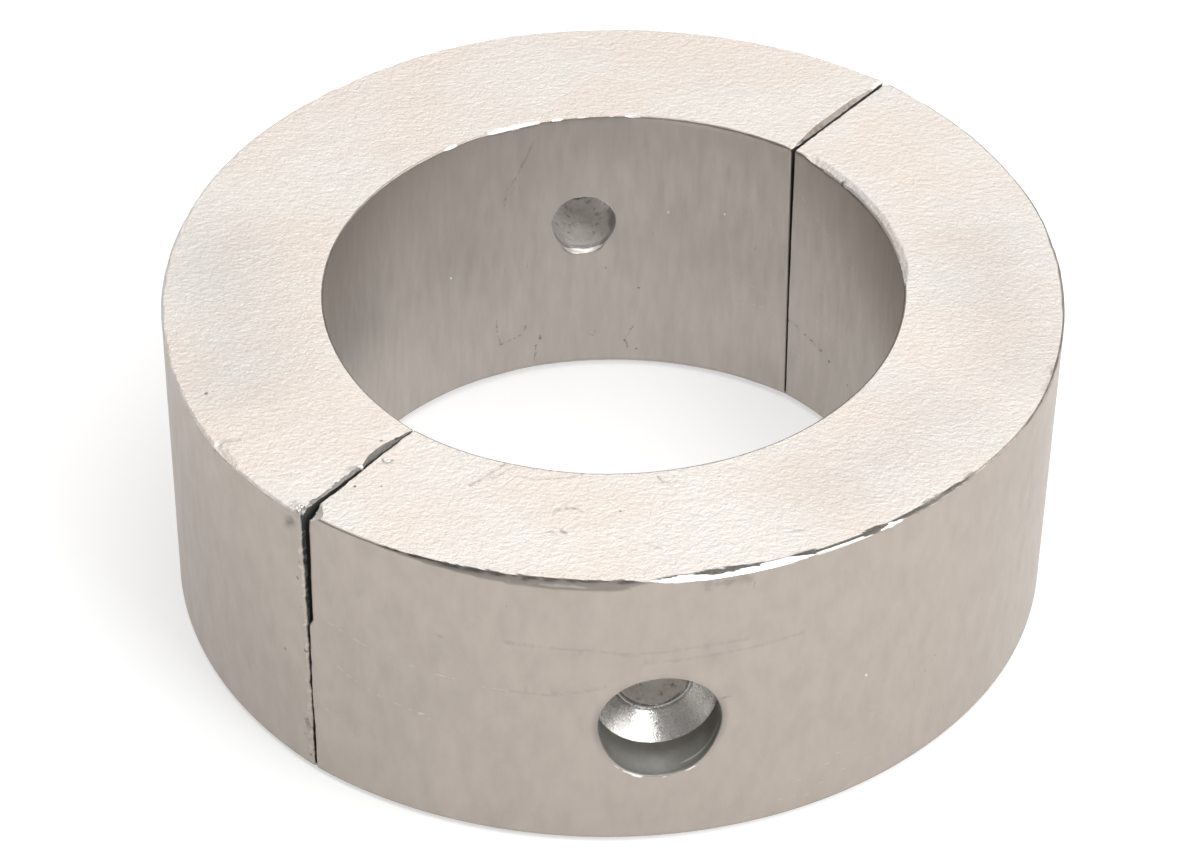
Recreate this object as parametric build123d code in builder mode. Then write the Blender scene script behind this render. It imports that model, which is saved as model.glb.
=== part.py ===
from build123d import *
from math import cos, radians, sin, sqrt, tan
import os

# Ring anode cast in two halves that close round a drive leg or shaft. Sizes are millimetres and degrees.
# Z is the ring's axis and the bottom face is at Z = 0. The screw holes lie along the Y axis, and the
# split between the castings runs at 45 degrees to it. The front casting is the one on the -Y and +X
# sides, and its left end is the one at -X.

# Section of a casting
outer_diameter = 125.0  # at the top face
bore_diameter = 81.5  # at the top face
height = 45.7
outer_draft = 0.8  # the outer wall leans in by this towards the bottom face
bore_draft = 1.0  # the bore opens by this towards the bottom face
rim_bevel = 0.8  # at the foot of the outer wall
bore_bevel = 1.2  # at the foot of the bore

# Split
split_angle = 45.0  # of the split line, from +X
centre_shift = 1.7  # of a casting's own centre from the ring's axis, towards the other casting
split_shift = 0.7  # of the split from the ring's axis, towards the rear casting
face_gap = 0.2  # between the castings where their ends meet

# Stepped ends of the front casting, which are set back above the step
step_setback = 0.5
left_step_height = 27.2
right_step_height = 20.8

# Screw hole of each casting, with a seat for the screw's head
hole_diameter = 9.3
seat_diameter = 16.2
seat_depth = 5.5  # at full diameter, along the hole's axis
seat_cone_angle = 82.0
seat_floor_diameter = 10.6
front_hole_height = 20.7
rear_hole_height = 26.8
hole_turn = 45.0  # of the hole from the middle of its casting, clockwise seen from above

# Rounded and broken edges
front_end_radius = 1.3  # upright corners of the ends
front_top_radius = 1.0  # all round the top face
rear_top_chamfer = 0.4

overrun = 5.0  # of a cutting tool past the metal

os.makedirs("parts", exist_ok=True)

outer_radius = outer_diameter / 2
bore_radius = bore_diameter / 2
outer_slope = tan(radians(outer_draft))
bore_slope = tan(radians(bore_draft))
front_angle = split_angle - 90
rear_angle = split_angle + 90


def level_direction(angle):
    """Level unit vector at an angle from +X."""
    return Vector(cos(radians(angle)), sin(radians(angle)), 0)


def outer_wall(level):
    """Radius of the outer wall at a height, from the casting's own centre."""
    return outer_radius - (height - level) * outer_slope


def bore_wall(level):
    """Radius of the bore at a height, from the casting's own centre."""
    return bore_radius + (height - level) * bore_slope


def section_plane(middle_angle):
    """Upright plane through a casting's own centre, whose x runs along the split."""
    outward = level_direction(middle_angle)
    return Plane(
        origin=outward * -centre_shift,
        x_dir=level_direction(middle_angle - 90),
        z_dir=-outward,
    )


def half_ring(middle_angle, end_reach):
    """Square-edged half ring facing middle_angle, whose ends are cut at end_reach from the ring's axis."""
    plane = section_plane(middle_angle)
    outward = level_direction(middle_angle)
    with BuildPart() as ring:
        with BuildSketch(plane):
            with BuildLine():
                Polyline(
                    (bore_wall(0), 0),
                    (outer_wall(0), 0),
                    (outer_wall(height), height),
                    (bore_wall(height), height),
                    close=True,
                )
            make_face()
        revolve(axis=Axis(plane.origin, (0, 0, 1)), revolution_arc=180)
        split(bisect_by=Plane(origin=outward * end_reach, z_dir=outward), keep=Keep.TOP)
    return ring.part


def foot_bevels(middle_angle):
    """What the bevels at the foot of the outer wall and of the bore take off a casting."""
    plane = section_plane(middle_angle)
    with BuildPart() as bevels:
        with BuildSketch(plane):
            with BuildLine():
                Polyline(
                    (outer_wall(0) - rim_bevel - overrun, -overrun),
                    (outer_wall(0) + overrun, rim_bevel + overrun),
                    (outer_wall(0) + overrun, -overrun),
                    close=True,
                )
            make_face()
            with BuildLine():
                Polyline(
                    (bore_wall(0) + bore_bevel + overrun, -overrun),
                    (bore_wall(0) - overrun, bore_bevel + overrun),
                    (bore_wall(0) - overrun, -overrun),
                    close=True,
                )
            make_face()
        revolve(axis=Axis(plane.origin, (0, 0, 1)), revolution_arc=180)
    return bevels.part


def outer_wall_reach(level):
    """Distance from the ring's axis to the outer wall along a screw hole's axis."""
    shift_along = centre_shift * cos(radians(hole_turn))
    shift_across = centre_shift * sin(radians(hole_turn))
    return sqrt(outer_wall(level) ** 2 - shift_across**2) - shift_along


def hole_cut(middle_angle, level):
    """What the screw hole and its seat take out of the casting that faces middle_angle."""
    outward = level_direction(middle_angle - hole_turn)
    cone_top = outer_wall_reach(level) - seat_depth
    cone_length = (seat_diameter - seat_floor_diameter) / 2 / tan(radians(seat_cone_angle / 2))
    seat_floor = cone_top - cone_length
    inner_end = bore_radius - centre_shift - overrun
    outer_end = outer_radius + overrun
    hole_plane = Plane(origin=(0, 0, level), x_dir=outward, z_dir=outward.cross(Vector(0, 0, 1)))
    with BuildPart() as cut:
        with BuildSketch(hole_plane):
            with BuildLine():
                Polyline(
                    (inner_end, 0),
                    (outer_end, 0),
                    (outer_end, seat_diameter / 2),
                    (cone_top, seat_diameter / 2),
                    (seat_floor, seat_floor_diameter / 2),
                    (seat_floor, hole_diameter / 2),
                    (inner_end, hole_diameter / 2),
                    close=True,
                )
            make_face()
        revolve(axis=Axis((0, 0, level), outward))
    return cut.part


def rounded_front(end_reach):
    """Front half ring with rounded ends and top, whose ends are plain."""
    square_ring = half_ring(front_angle, end_reach)
    with BuildPart() as rounded:
        add(square_ring)
        upright_edges = rounded.edges().filter_by(lambda edge: abs(edge.tangent_at(0.5).Z) > 0.99)
        fillet(upright_edges, radius=front_end_radius)
        fillet(rounded.edges().group_by(Axis.Z)[-1], radius=front_top_radius)
    return rounded.part


def end_toe(end_angle, step_height, full_ring):
    """The part of a stepped end that stands out below its step."""
    toe_width = 2 * front_end_radius + step_setback
    with BuildPart() as toe:
        add(full_ring)
        with BuildSketch(Plane(origin=(0, 0, 0), x_dir=level_direction(end_angle), z_dir=(0, 0, 1))):
            with Locations((outer_radius, 0)):
                Rectangle(2 * outer_radius, 2 * toe_width)
        extrude(amount=step_height, mode=Mode.INTERSECT)
    return toe.part


# Front casting: set back along its whole ends, with a toe below each step
front_end_reach = face_gap / 2 - split_shift
front_full = rounded_front(front_end_reach)
front_set_back = rounded_front(front_end_reach + step_setback)
left_toe = end_toe(split_angle + 180, left_step_height, front_full)
right_toe = end_toe(split_angle, right_step_height, front_full)
front_bevels = foot_bevels(front_angle)
front_hole_cut = hole_cut(front_angle, front_hole_height)
with BuildPart() as front_half:
    add(front_set_back)
    add(left_toe)
    add(right_toe)
    add(front_bevels, mode=Mode.SUBTRACT)
    add(front_hole_cut, mode=Mode.SUBTRACT)

# Rear casting: plain ends
rear_end_reach = face_gap / 2 + split_shift
rear_ring = half_ring(rear_angle, rear_end_reach)
rear_bevels = foot_bevels(rear_angle)
rear_hole_cut = hole_cut(rear_angle, rear_hole_height)
with BuildPart() as rear_half:
    add(rear_ring)
    chamfer(rear_half.edges().group_by(Axis.Z)[-1], length=rear_top_chamfer)
    add(rear_bevels, mode=Mode.SUBTRACT)
    add(rear_hole_cut, mode=Mode.SUBTRACT)

front_half.part.label = "front_half"
rear_half.part.label = "rear_half"
export_step(front_half.part, "parts/front_half.step")
export_step(rear_half.part, "parts/rear_half.step")
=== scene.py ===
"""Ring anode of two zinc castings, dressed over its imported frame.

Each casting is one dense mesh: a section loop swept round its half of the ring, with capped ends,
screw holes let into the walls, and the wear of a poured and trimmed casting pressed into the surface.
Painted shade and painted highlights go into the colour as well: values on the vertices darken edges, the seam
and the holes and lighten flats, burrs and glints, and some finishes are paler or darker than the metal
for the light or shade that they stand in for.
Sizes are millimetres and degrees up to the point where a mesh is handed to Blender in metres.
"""
import logging
import math
from dataclasses import dataclass, field
from enum import Enum, IntEnum
from itertools import product

import bmesh
import bpy
import numpy as np
from mathutils import Matrix, Vector
from mathutils.geometry import delaunay_2d_cdt


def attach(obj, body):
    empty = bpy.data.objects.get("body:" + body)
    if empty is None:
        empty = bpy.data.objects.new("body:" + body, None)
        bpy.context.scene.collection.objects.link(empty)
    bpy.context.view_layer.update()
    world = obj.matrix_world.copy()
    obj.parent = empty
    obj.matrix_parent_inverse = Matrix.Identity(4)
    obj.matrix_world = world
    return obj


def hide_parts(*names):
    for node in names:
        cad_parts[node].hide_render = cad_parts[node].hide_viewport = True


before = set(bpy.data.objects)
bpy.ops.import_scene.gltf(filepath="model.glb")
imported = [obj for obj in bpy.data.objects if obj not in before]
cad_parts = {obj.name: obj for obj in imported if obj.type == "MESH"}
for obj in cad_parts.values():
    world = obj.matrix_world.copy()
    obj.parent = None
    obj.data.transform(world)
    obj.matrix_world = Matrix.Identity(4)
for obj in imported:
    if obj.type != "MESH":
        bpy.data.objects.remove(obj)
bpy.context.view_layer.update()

Array = np.ndarray
Socket = bpy.types.NodeSocket
Triple = tuple[float, float, float]

LOG = logging.getLogger("anode")
MM = 0.001
TINY = 1e-6
FAR = 99.0  # stands for out of reach
SKIN = 0.9  # depth within which a point counts as on a surface
SWELL_GAIN = 1.7  # brings gradient noise to about -1 to 1
QUARTER_TURN = math.pi / 2
LEAST_EDGE = 0.06  # smallest radius of an edge after an inset
INSET_FADE = 8.0  # how far up or down a wall an inset moves its points
STEP_ROOM = 0.006  # share of the height that is kept clear of other rows round a step
STEP_PAIR = 0.0008  # share of the height from a step to each of its two rows
LEAST_CUT = 1e-4  # smallest leg of a worn flat
SEAT_SIDE = 8.11  # just past the wall of a seat
THROAT_SIDE = 4.7  # just past the wall of a screw hole


# ---- numbers along a line

def smooth_rise(value: Array, low: float, high: float) -> Array:
    """Smooth step from 0 at low to 1 at high.

    Args:
        value: Where to measure the step.
        low: Value at which the step starts.
        high: Value at which the step ends.

    Returns:
        The height of the step at each value.
    """
    ratio = np.clip((value - low) / (high - low), 0.0, 1.0)
    return ratio * ratio * (3.0 - 2.0 * ratio)


def blend(start: Array, end: Array, share: Array) -> Array:
    """Straight mix of start and end by share."""
    return start + (end - start) * share


def graded_shares(length: float, fine: tuple[float, float], coarse: float,
                  reach: tuple[float, float]) -> Array:
    """Shares of a length from 0 to just under 1, closer together near the ends.

    Args:
        length: The whole length.
        fine: Step at the start and at the end.
        coarse: Step in the middle.
        reach: How far the finer steps last from each end.

    Returns:
        The shares, from 0, without the closing 1.
    """
    places = [0.0]
    while places[-1] < length:
        here = places[-1]
        near_start = max(0.0, 1.0 - here / reach[0])
        near_end = max(0.0, 1.0 - (length - here) / reach[1])
        step = coarse + (fine[0] - coarse) * near_start ** 0.5 + (fine[1] - coarse) * near_end ** 0.5
        places.append(here + max(step, min(fine)))
    shares = np.array(places) / places[-1]
    return shares[:-1]


# ---- seeded noise

def hashed(cell: Array, seed: int) -> Array:
    """Three repeatable numbers from 0 to 1 for each whole-number cell.

    Args:
        cell: Cells, one row of three whole numbers each.
        seed: Picks the set of numbers.

    Returns:
        One row of three numbers for each cell.
    """
    spread = np.array([73856093, 19349663, 83492791], dtype=np.int64)
    base = (cell * spread).sum(axis=-1) + seed * 2654435761
    numbers = []
    for salt in (1, 2, 3):
        value = (base * (2 * salt + 1) + salt * 1013904223) & 0xFFFFFFFF
        value = ((value ^ (value >> 15)) * 2246822519) & 0xFFFFFFFF
        value = ((value ^ (value >> 13)) * 3266489917) & 0xFFFFFFFF
        numbers.append(((value ^ (value >> 16)) & 0xFFFFFF) / float(0xFFFFFF))
    return np.stack(numbers, axis=-1)


def swell(points: Array, size: float, seed: int) -> Array:
    """Smooth noise from about -1 to 1.

    Args:
        points: Points in millimetres, one row each.
        size: Width of a hump in millimetres.
        seed: Picks the pattern.

    Returns:
        The noise at each point.
    """
    scaled = points / size
    cell = np.floor(scaled).astype(np.int64)
    local = scaled - cell
    fade = local ** 3 * (local * (local * 6.0 - 15.0) + 10.0)
    total = np.zeros(len(points))
    for corner in product((0, 1), repeat=3):
        corner_row = np.array(corner)
        slope = hashed(cell + corner_row, seed) * 2.0 - 1.0
        share = np.where(corner_row == 1, fade, 1.0 - fade).prod(axis=-1)
        total += share * (slope * (local - corner_row)).sum(axis=-1)
    return total * SWELL_GAIN


def pebbles(points: Array, size: float, seed: int) -> Array:
    """Distance to the nearest of scattered seeds, as hammered metal has.

    Args:
        points: Points in millimetres, one row each.
        size: Typical width of a pebble in millimetres.
        seed: Picks the pattern.

    Returns:
        0 on a seed, rising to about 1 between seeds.
    """
    scaled = points / size
    cell = np.floor(scaled).astype(np.int64)
    nearest = np.full(len(points), FAR)
    for step in product((-1, 0, 1), repeat=3):
        neighbour = cell + np.array(step)
        away = neighbour + hashed(neighbour, seed) - scaled
        nearest = np.minimum(nearest, (away * away).sum(axis=-1))
    return np.sqrt(nearest)


# ---- sizes

class Finish(IntEnum):
    """Finishes of a casting, in the order of its material slots."""

    FACE = 0
    WALL = 1
    SPLIT = 2
    CONE = 3
    POCKET = 4
    HOLE = 5
    BORE = 6


class Band(Enum):
    """Stretches of the section loop, in order round it."""

    FACE = "face"
    RIM = "rim"
    WALL = "wall"
    WALL_FOOT = "wall foot"
    BASE = "base"
    BORE_FOOT = "bore foot"
    BORE = "bore"
    LIP = "lip"


class Surface(Enum):
    """Surfaces that a mark can lie on."""

    FACE = "face"
    WALL = "wall"
    BORE = "bore"


class Stroke(Enum):
    """Shapes of a mark across its width."""

    GROOVE = "groove"
    RIDGE = "ridge"
    FOLD = "fold"


class Edge(Enum):
    """Long edges of a casting that were broken in trimming."""

    RIM = "rim"
    LIP = "lip"
    SEAM = "seam"


class Coat(Enum):
    """Values that each vertex carries for the finishes, by the name of their mesh attribute."""

    # Darkens the metal, as real stains and pits and as painted shade along dark rim edges and seat ledges.
    STAIN_AND_PAINTED_SHADE = "stain_and_painted_shade"
    # Painted highlight, which also makes the metal smoother and less metallic.
    PAINTED_HIGHLIGHT_AND_POLISH = "painted_highlight_and_polish"
    # Painted shade, which also darkens scratches, flow lines and turned marks.
    SHADE = "shade"
    GRAIN = "grain"


class Pattern(IntEnum):
    """Noise patterns of a casting, each added to its seed."""

    POUR = 0
    POUR_FINE = 1
    PEBBLES = 2
    POUR_GRAIN = 3
    WALL = 4
    WALL_GRAIN = 5
    BORE = 6
    MARK = 7
    BORE_GRAIN = 8
    RAW_HOLE = 9
    RAW_HOLE_GRAIN = 10
    SEAM = 12
    SEAM_WANDER = 13
    SEAM_GRAIN = 14
    SEAT = 21
    THROAT = 23
    THROAT_SHADE = 25
    STREAK = 27
    STREAK_FINE = 28
    PIT = 29
    PIT_FINE = 30
    SEAT_GRAIN = 31
    CUT = 41
    CUT_WIDE = 43
    CONE = 61


@dataclass(frozen=True)
class Wave:
    """Layer of unevenness. Its height and the width of its humps are in millimetres."""

    height: float
    size: float
    pattern: Pattern
    stretch: Triple | None = None


STREAKED = (0.55, 0.55, 1.4)
POURED_WAVES = (
    Wave(0.09, 13.0, Pattern.POUR),
    Wave(0.026, 4.2, Pattern.POUR_FINE, (0.8, 1.2, 1.0)),
    Wave(0.010, 1.1, Pattern.POUR_GRAIN),
)
WALL_WAVES = (Wave(0.022, 9.0, Pattern.WALL, STREAKED), Wave(0.004, 1.6, Pattern.WALL_GRAIN))
BORE_WAVES = (Wave(0.022, 7.0, Pattern.BORE, STREAKED), Wave(0.004, 1.4, Pattern.BORE_GRAIN))
RAW_HOLE_WAVES = (Wave(0.13, 2.4, Pattern.RAW_HOLE), Wave(0.09, 0.9, Pattern.RAW_HOLE_GRAIN))
SEAM_WAVES = (Wave(0.07, 0.9, Pattern.SEAM),)
SEAM_WANDER = (Wave(0.07, 1.3, Pattern.SEAM_WANDER), Wave(0.05, 0.6, Pattern.SEAM_GRAIN))
PEBBLE_SIZE = 1.7
PEBBLE_HEIGHT = 0.018


@dataclass(frozen=True)
class RingSize:
    """Sizes that both castings share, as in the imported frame."""

    outer_radius: float = 62.5
    bore_radius: float = 40.75
    height: float = 45.7
    outer_slope: float = math.tan(math.radians(0.8))
    bore_slope: float = math.tan(math.radians(1.0))
    wall_bevel: float = 0.8
    bore_bevel: float = 1.2
    centre_shift: float = 1.7

    def wall(self, level: Array) -> Array:
        """Radius of the outer wall at a height."""
        return self.outer_radius - (self.height - level) * self.outer_slope

    def bore(self, level: Array) -> Array:
        """Radius of the bore at a height."""
        return self.bore_radius + (self.height - level) * self.bore_slope


@dataclass(frozen=True)
class ScrewHole:
    """Screw hole and its seat, on a level axis through the ring's own axis."""

    azimuth: float
    level: float
    hole_radius: float = 4.65
    seat_radius: float = 8.1
    seat_depth: float = 5.5
    floor_radius: float = 5.3
    cone_angle: float = 82.0

    def cone_length(self) -> float:
        """Length of the seat's cone along the hole."""
        return (self.seat_radius - self.floor_radius) / math.tan(math.radians(self.cone_angle / 2))

    def axis(self) -> Array:
        """Level unit vector outward along the hole."""
        angle = math.radians(self.azimuth)
        return np.array([math.cos(angle), math.sin(angle), 0.0])

    def across(self) -> Array:
        """Level unit vector across the hole."""
        angle = math.radians(self.azimuth)
        return np.array([-math.sin(angle), math.cos(angle), 0.0])

    def place(self, depth: Array, radius: Array, angle: Array) -> Array:
        """Points round the hole's axis.

        Args:
            depth: Distance from the ring's axis along the hole.
            radius: Distance from the hole's axis.
            angle: Angle round the hole's axis, in radians.

        Returns:
            One row of x, y, z for each point.
        """
        sideways = radius * np.cos(angle)
        rise = self.level + radius * np.sin(angle)
        depth = np.broadcast_to(depth, sideways.shape)
        points = depth[:, None] * self.axis() + sideways[:, None] * self.across()
        points[:, 2] = rise
        return points


@dataclass(frozen=True)
class EndStep:
    """How one end of a casting is set back above its step, and how far its outer foot opens."""

    step_level: float = FAR
    inner_setback: float = 0.0
    outer_setback: float = 0.0
    inner_lean: float = 0.0
    outer_lean: float = 0.0
    wander: float = 0.0
    foot_opening: float = 0.0
    wander_size: float = 4.5
    wander_seed: int = 3

    def setback(self, radius: Array, level: Array, above: Array, ring: RingSize) -> Array:
        """Distance that the end's surface lies back from its plane.

        Args:
            radius: Distance from the casting's own centre.
            level: Height.
            above: True where the point is above the step.
            ring: Sizes of the ring.

        Returns:
            The distance for each point.
        """
        share = np.clip((radius - ring.bore_radius) / (ring.outer_radius - ring.bore_radius), 0.0, 1.0)
        upper = blend(self.inner_setback, self.outer_setback, share ** 2)
        lean = blend(self.inner_lean, self.outer_lean, share)
        upper = upper + lean * np.clip((level - self.step_level) / (ring.height - self.step_level), 0.0, 1.0)
        spots = np.stack([radius, 0.5 * level, np.full(radius.shape, self.step_level)], axis=-1)
        wander = swell(spots.reshape(-1, 3), self.wander_size, self.wander_seed).reshape(radius.shape)
        upper = upper + self.wander * wander
        lower = self.foot_opening * smooth_rise(share, 0.8, 1.0) * smooth_rise(-level, -13.0, -7.0)
        return np.where(above, upper, lower)


@dataclass(frozen=True)
class EndEdges:
    """Radii of the edges round the ends of a casting.

    toe is below the step, wall and bore are above it, and crown is at the outer top corner.
    """

    toe: float = 0.2
    wall: float = 0.2
    bore: float = 0.2
    crown: float = 0.2


@dataclass(frozen=True)
class Flare:
    """Stretch of outer wall that stands proud of a true circle, most at the top."""

    azimuth: float
    spread: float
    reach: float
    foot_share: float = 0.0


@dataclass(frozen=True)
class MouthWearAndShading:
    """How the two mouths of a screw hole are worn, and the shade and highlights painted in them.

    The lower lip of each mouth sags. fade is how far a sag lasts on the wall, and depth how far inside.
    The burr stands a gap outside the seat, and burr_height is its least height and what noise adds to it.
    A bright line, a painted highlight, runs round the pocket at its own depth. The lip at the bore is broken
    back by a bevel. The burr, the bevel and the streaks inside the throat carry painted highlights, and the
    pocket's sides, the ledge and the throat's sides and mouth carry painted shade.
    """

    seat_sag: float = 0.95
    seat_fade: float = 1.2
    seat_sag_depth: float = 4.0
    burr_gap: float = 0.26
    burr_width: float = 0.17
    burr_height: tuple[float, float] = (0.10, 0.24)
    # Bright line round the pocket, painted as a highlight.
    bright_line_depth: float = 1.27
    bright_line_width: float = 0.26
    bright_line_highlight: float = 0.50
    # Painted shade on the pocket's sides and on the ledge.
    side_shade: float = 0.5
    ledge_shade: float = 0.45
    ledge_painted_shadow: float = 0.46
    cone_shade: float = 0.07
    throat_sag: float = 0.70
    throat_fade: float = 0.9
    throat_sag_depth: float = 1.6
    bevel_width: float = 0.50
    bevel_slope: float = 1.35
    bevel_depth: float = 0.8
    # Painted highlight of the streaks inside the throat.
    streak_painted_highlight: float = 0.42
    pit_stain: float = 0.40


@dataclass(frozen=True)
class EdgeCut:
    """Flat that wear or a file left along a long edge.

    start and stop are azimuths in degrees, or distances from the ring's axis in millimetres along a seam.
    inward is its leg on the end face and downward its leg on the wall. taper is how far it takes to reach
    its full size at its start and at its stop. finish is its own finish, where it has one.
    """

    edge: Edge
    start: float
    stop: float
    inward: float
    downward: float
    taper: tuple[float, float] = (3.0, 3.0)
    ragged: float = 0.0
    ragged_size: float = 1.2
    # Painted highlight on the flat, which also makes it smoother.
    painted_highlight_and_polish: float = 0.0
    # Darkens the flat, as real stains and as painted shade.
    stain_and_painted_shade: float = 0.0
    # Painted shade on the flat.
    shade: float = 0.0
    # A paler or darker finish than the metal's stands in for light or shade on the flat.
    finish: Finish | None = None


@dataclass(frozen=True)
class Mark:
    """Line, dent or bead on a surface.

    On the end face its path is x and y. On a wall it is azimuth in degrees and height.
    """

    surface: Surface
    path: tuple[tuple[float, float], ...]
    width: float
    height: float
    stroke: Stroke = Stroke.GROOVE
    # Darkens the mark, as real stains in pits and scratches.
    stain_and_painted_shade: float = 0.0
    # Painted highlight along the mark, which also makes it smoother.
    painted_highlight_and_polish: float = 0.0
    # Darkens along the mark: painted shade for broad areas, folds and curls, and the darker colour of
    # scratches and flow lines.
    shade: float = 0.0
    ragged: float = 0.3


@dataclass(frozen=True)
class CastingSize:
    """Sizes of one casting that differ from the other's."""

    name: str
    middle: float
    end_reach: float
    edges: EndEdges
    rim_radius: float
    lip_radius: float
    ends: tuple[EndStep, EndStep]
    holes: tuple[ScrewHole, ...]
    flare: Flare
    mouths: MouthWearAndShading = MouthWearAndShading()
    rim_finish: Finish = Finish.WALL
    cuts: tuple[EdgeCut, ...] = ()
    marks: tuple[Mark, ...] = ()
    seed: int = 1


# ---- mesh of a casting

# Rings round a hole, as shares of the way inward. They lie closer together where the surface turns.
WINDOW_SHARES = {
    Surface.WALL: (0.2, 0.38, 0.54, 0.68, 0.79, 0.87, 0.93, 0.97, 1.0),
    Surface.BORE: (0.25, 0.45, 0.62, 0.76, 0.86, 0.93, 0.97, 1.0),
}
POCKET_SHARES = (0.02, 0.05, 0.1, 0.16, 0.23, 0.31, 0.4, 0.5, 0.6, 0.7, 0.8, 0.88, 0.94, 0.98, 1.0)
CONE_SHARES = (0.02, 0.06, 0.14, 0.24, 0.34, 0.44, 0.54, 0.64, 0.74, 0.84, 0.92, 0.97, 1.0)
# Drop below the cone's foot and inset from it, in millimetres, of each ring of the ledge.
LEDGE_STEPS = ((0.05, 0.05), (0.3, 0.1), (0.35, 0.25), (0.35, 0.4))
THROAT_SHARES = (0.01, 0.03, *np.linspace(0.06, 0.94, 23), 0.97, 1.0)


@dataclass
class Shell:
    """Vertices and faces of a mesh while it is being put together."""

    blocks: list[Array] = field(default_factory=list)
    count: int = 0
    faces: list[tuple[int, ...]] = field(default_factory=list)
    finishes: list[int] = field(default_factory=list)

    def add_points(self, points: Array) -> Array:
        """Adds vertices.

        Args:
            points: One row of x, y, z for each.

        Returns:
            Their numbers in the mesh.
        """
        numbers = np.arange(self.count, self.count + len(points))
        self.blocks.append(points)
        self.count += len(points)
        return numbers

    def add_faces(self, faces: list[tuple[int, ...]], finish: Finish) -> None:
        """Adds faces of one finish."""
        self.faces.extend(faces)
        self.finishes.extend([int(finish)] * len(faces))

    def join_rings(self, first: Array, second: Array, finish: Finish) -> None:
        """Joins two closed rings of the same count with four-sided faces.

        Args:
            first: Vertex numbers of one ring.
            second: Vertex numbers of the other.
            finish: Finish of the faces.
        """
        ahead_first = np.roll(first, -1)
        ahead_second = np.roll(second, -1)
        quads = np.stack([first, ahead_first, ahead_second, second], axis=1)
        self.add_faces([tuple(row) for row in quads.tolist()], finish)

    def zip_rings(self, first: Array, first_angles: Array, second: Array,
                  second_angles: Array, finish: Finish) -> None:
        """Joins two closed rings of different counts with three-sided faces.

        Args:
            first: Vertex numbers of one ring, in order of angle.
            first_angles: Their angles.
            second: Vertex numbers of the other ring, in order of angle.
            second_angles: Their angles.
            finish: Finish of the faces.
        """
        here, there = 0, 0
        triangles = []
        turn = 2.0 * math.pi
        while here < len(first) or there < len(second):
            next_here = first_angles[(here + 1) % len(first)] + turn * ((here + 1) // len(first))
            next_there = second_angles[(there + 1) % len(second)] + turn * ((there + 1) // len(second))
            a = int(first[here % len(first)])
            b = int(second[there % len(second)])
            if there >= len(second) or (here < len(first) and next_here <= next_there):
                triangles.append((a, int(first[(here + 1) % len(first)]), b))
                here += 1
            else:
                triangles.append((a, int(second[(there + 1) % len(second)]), b))
                there += 1
        self.add_faces(triangles, finish)


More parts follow.
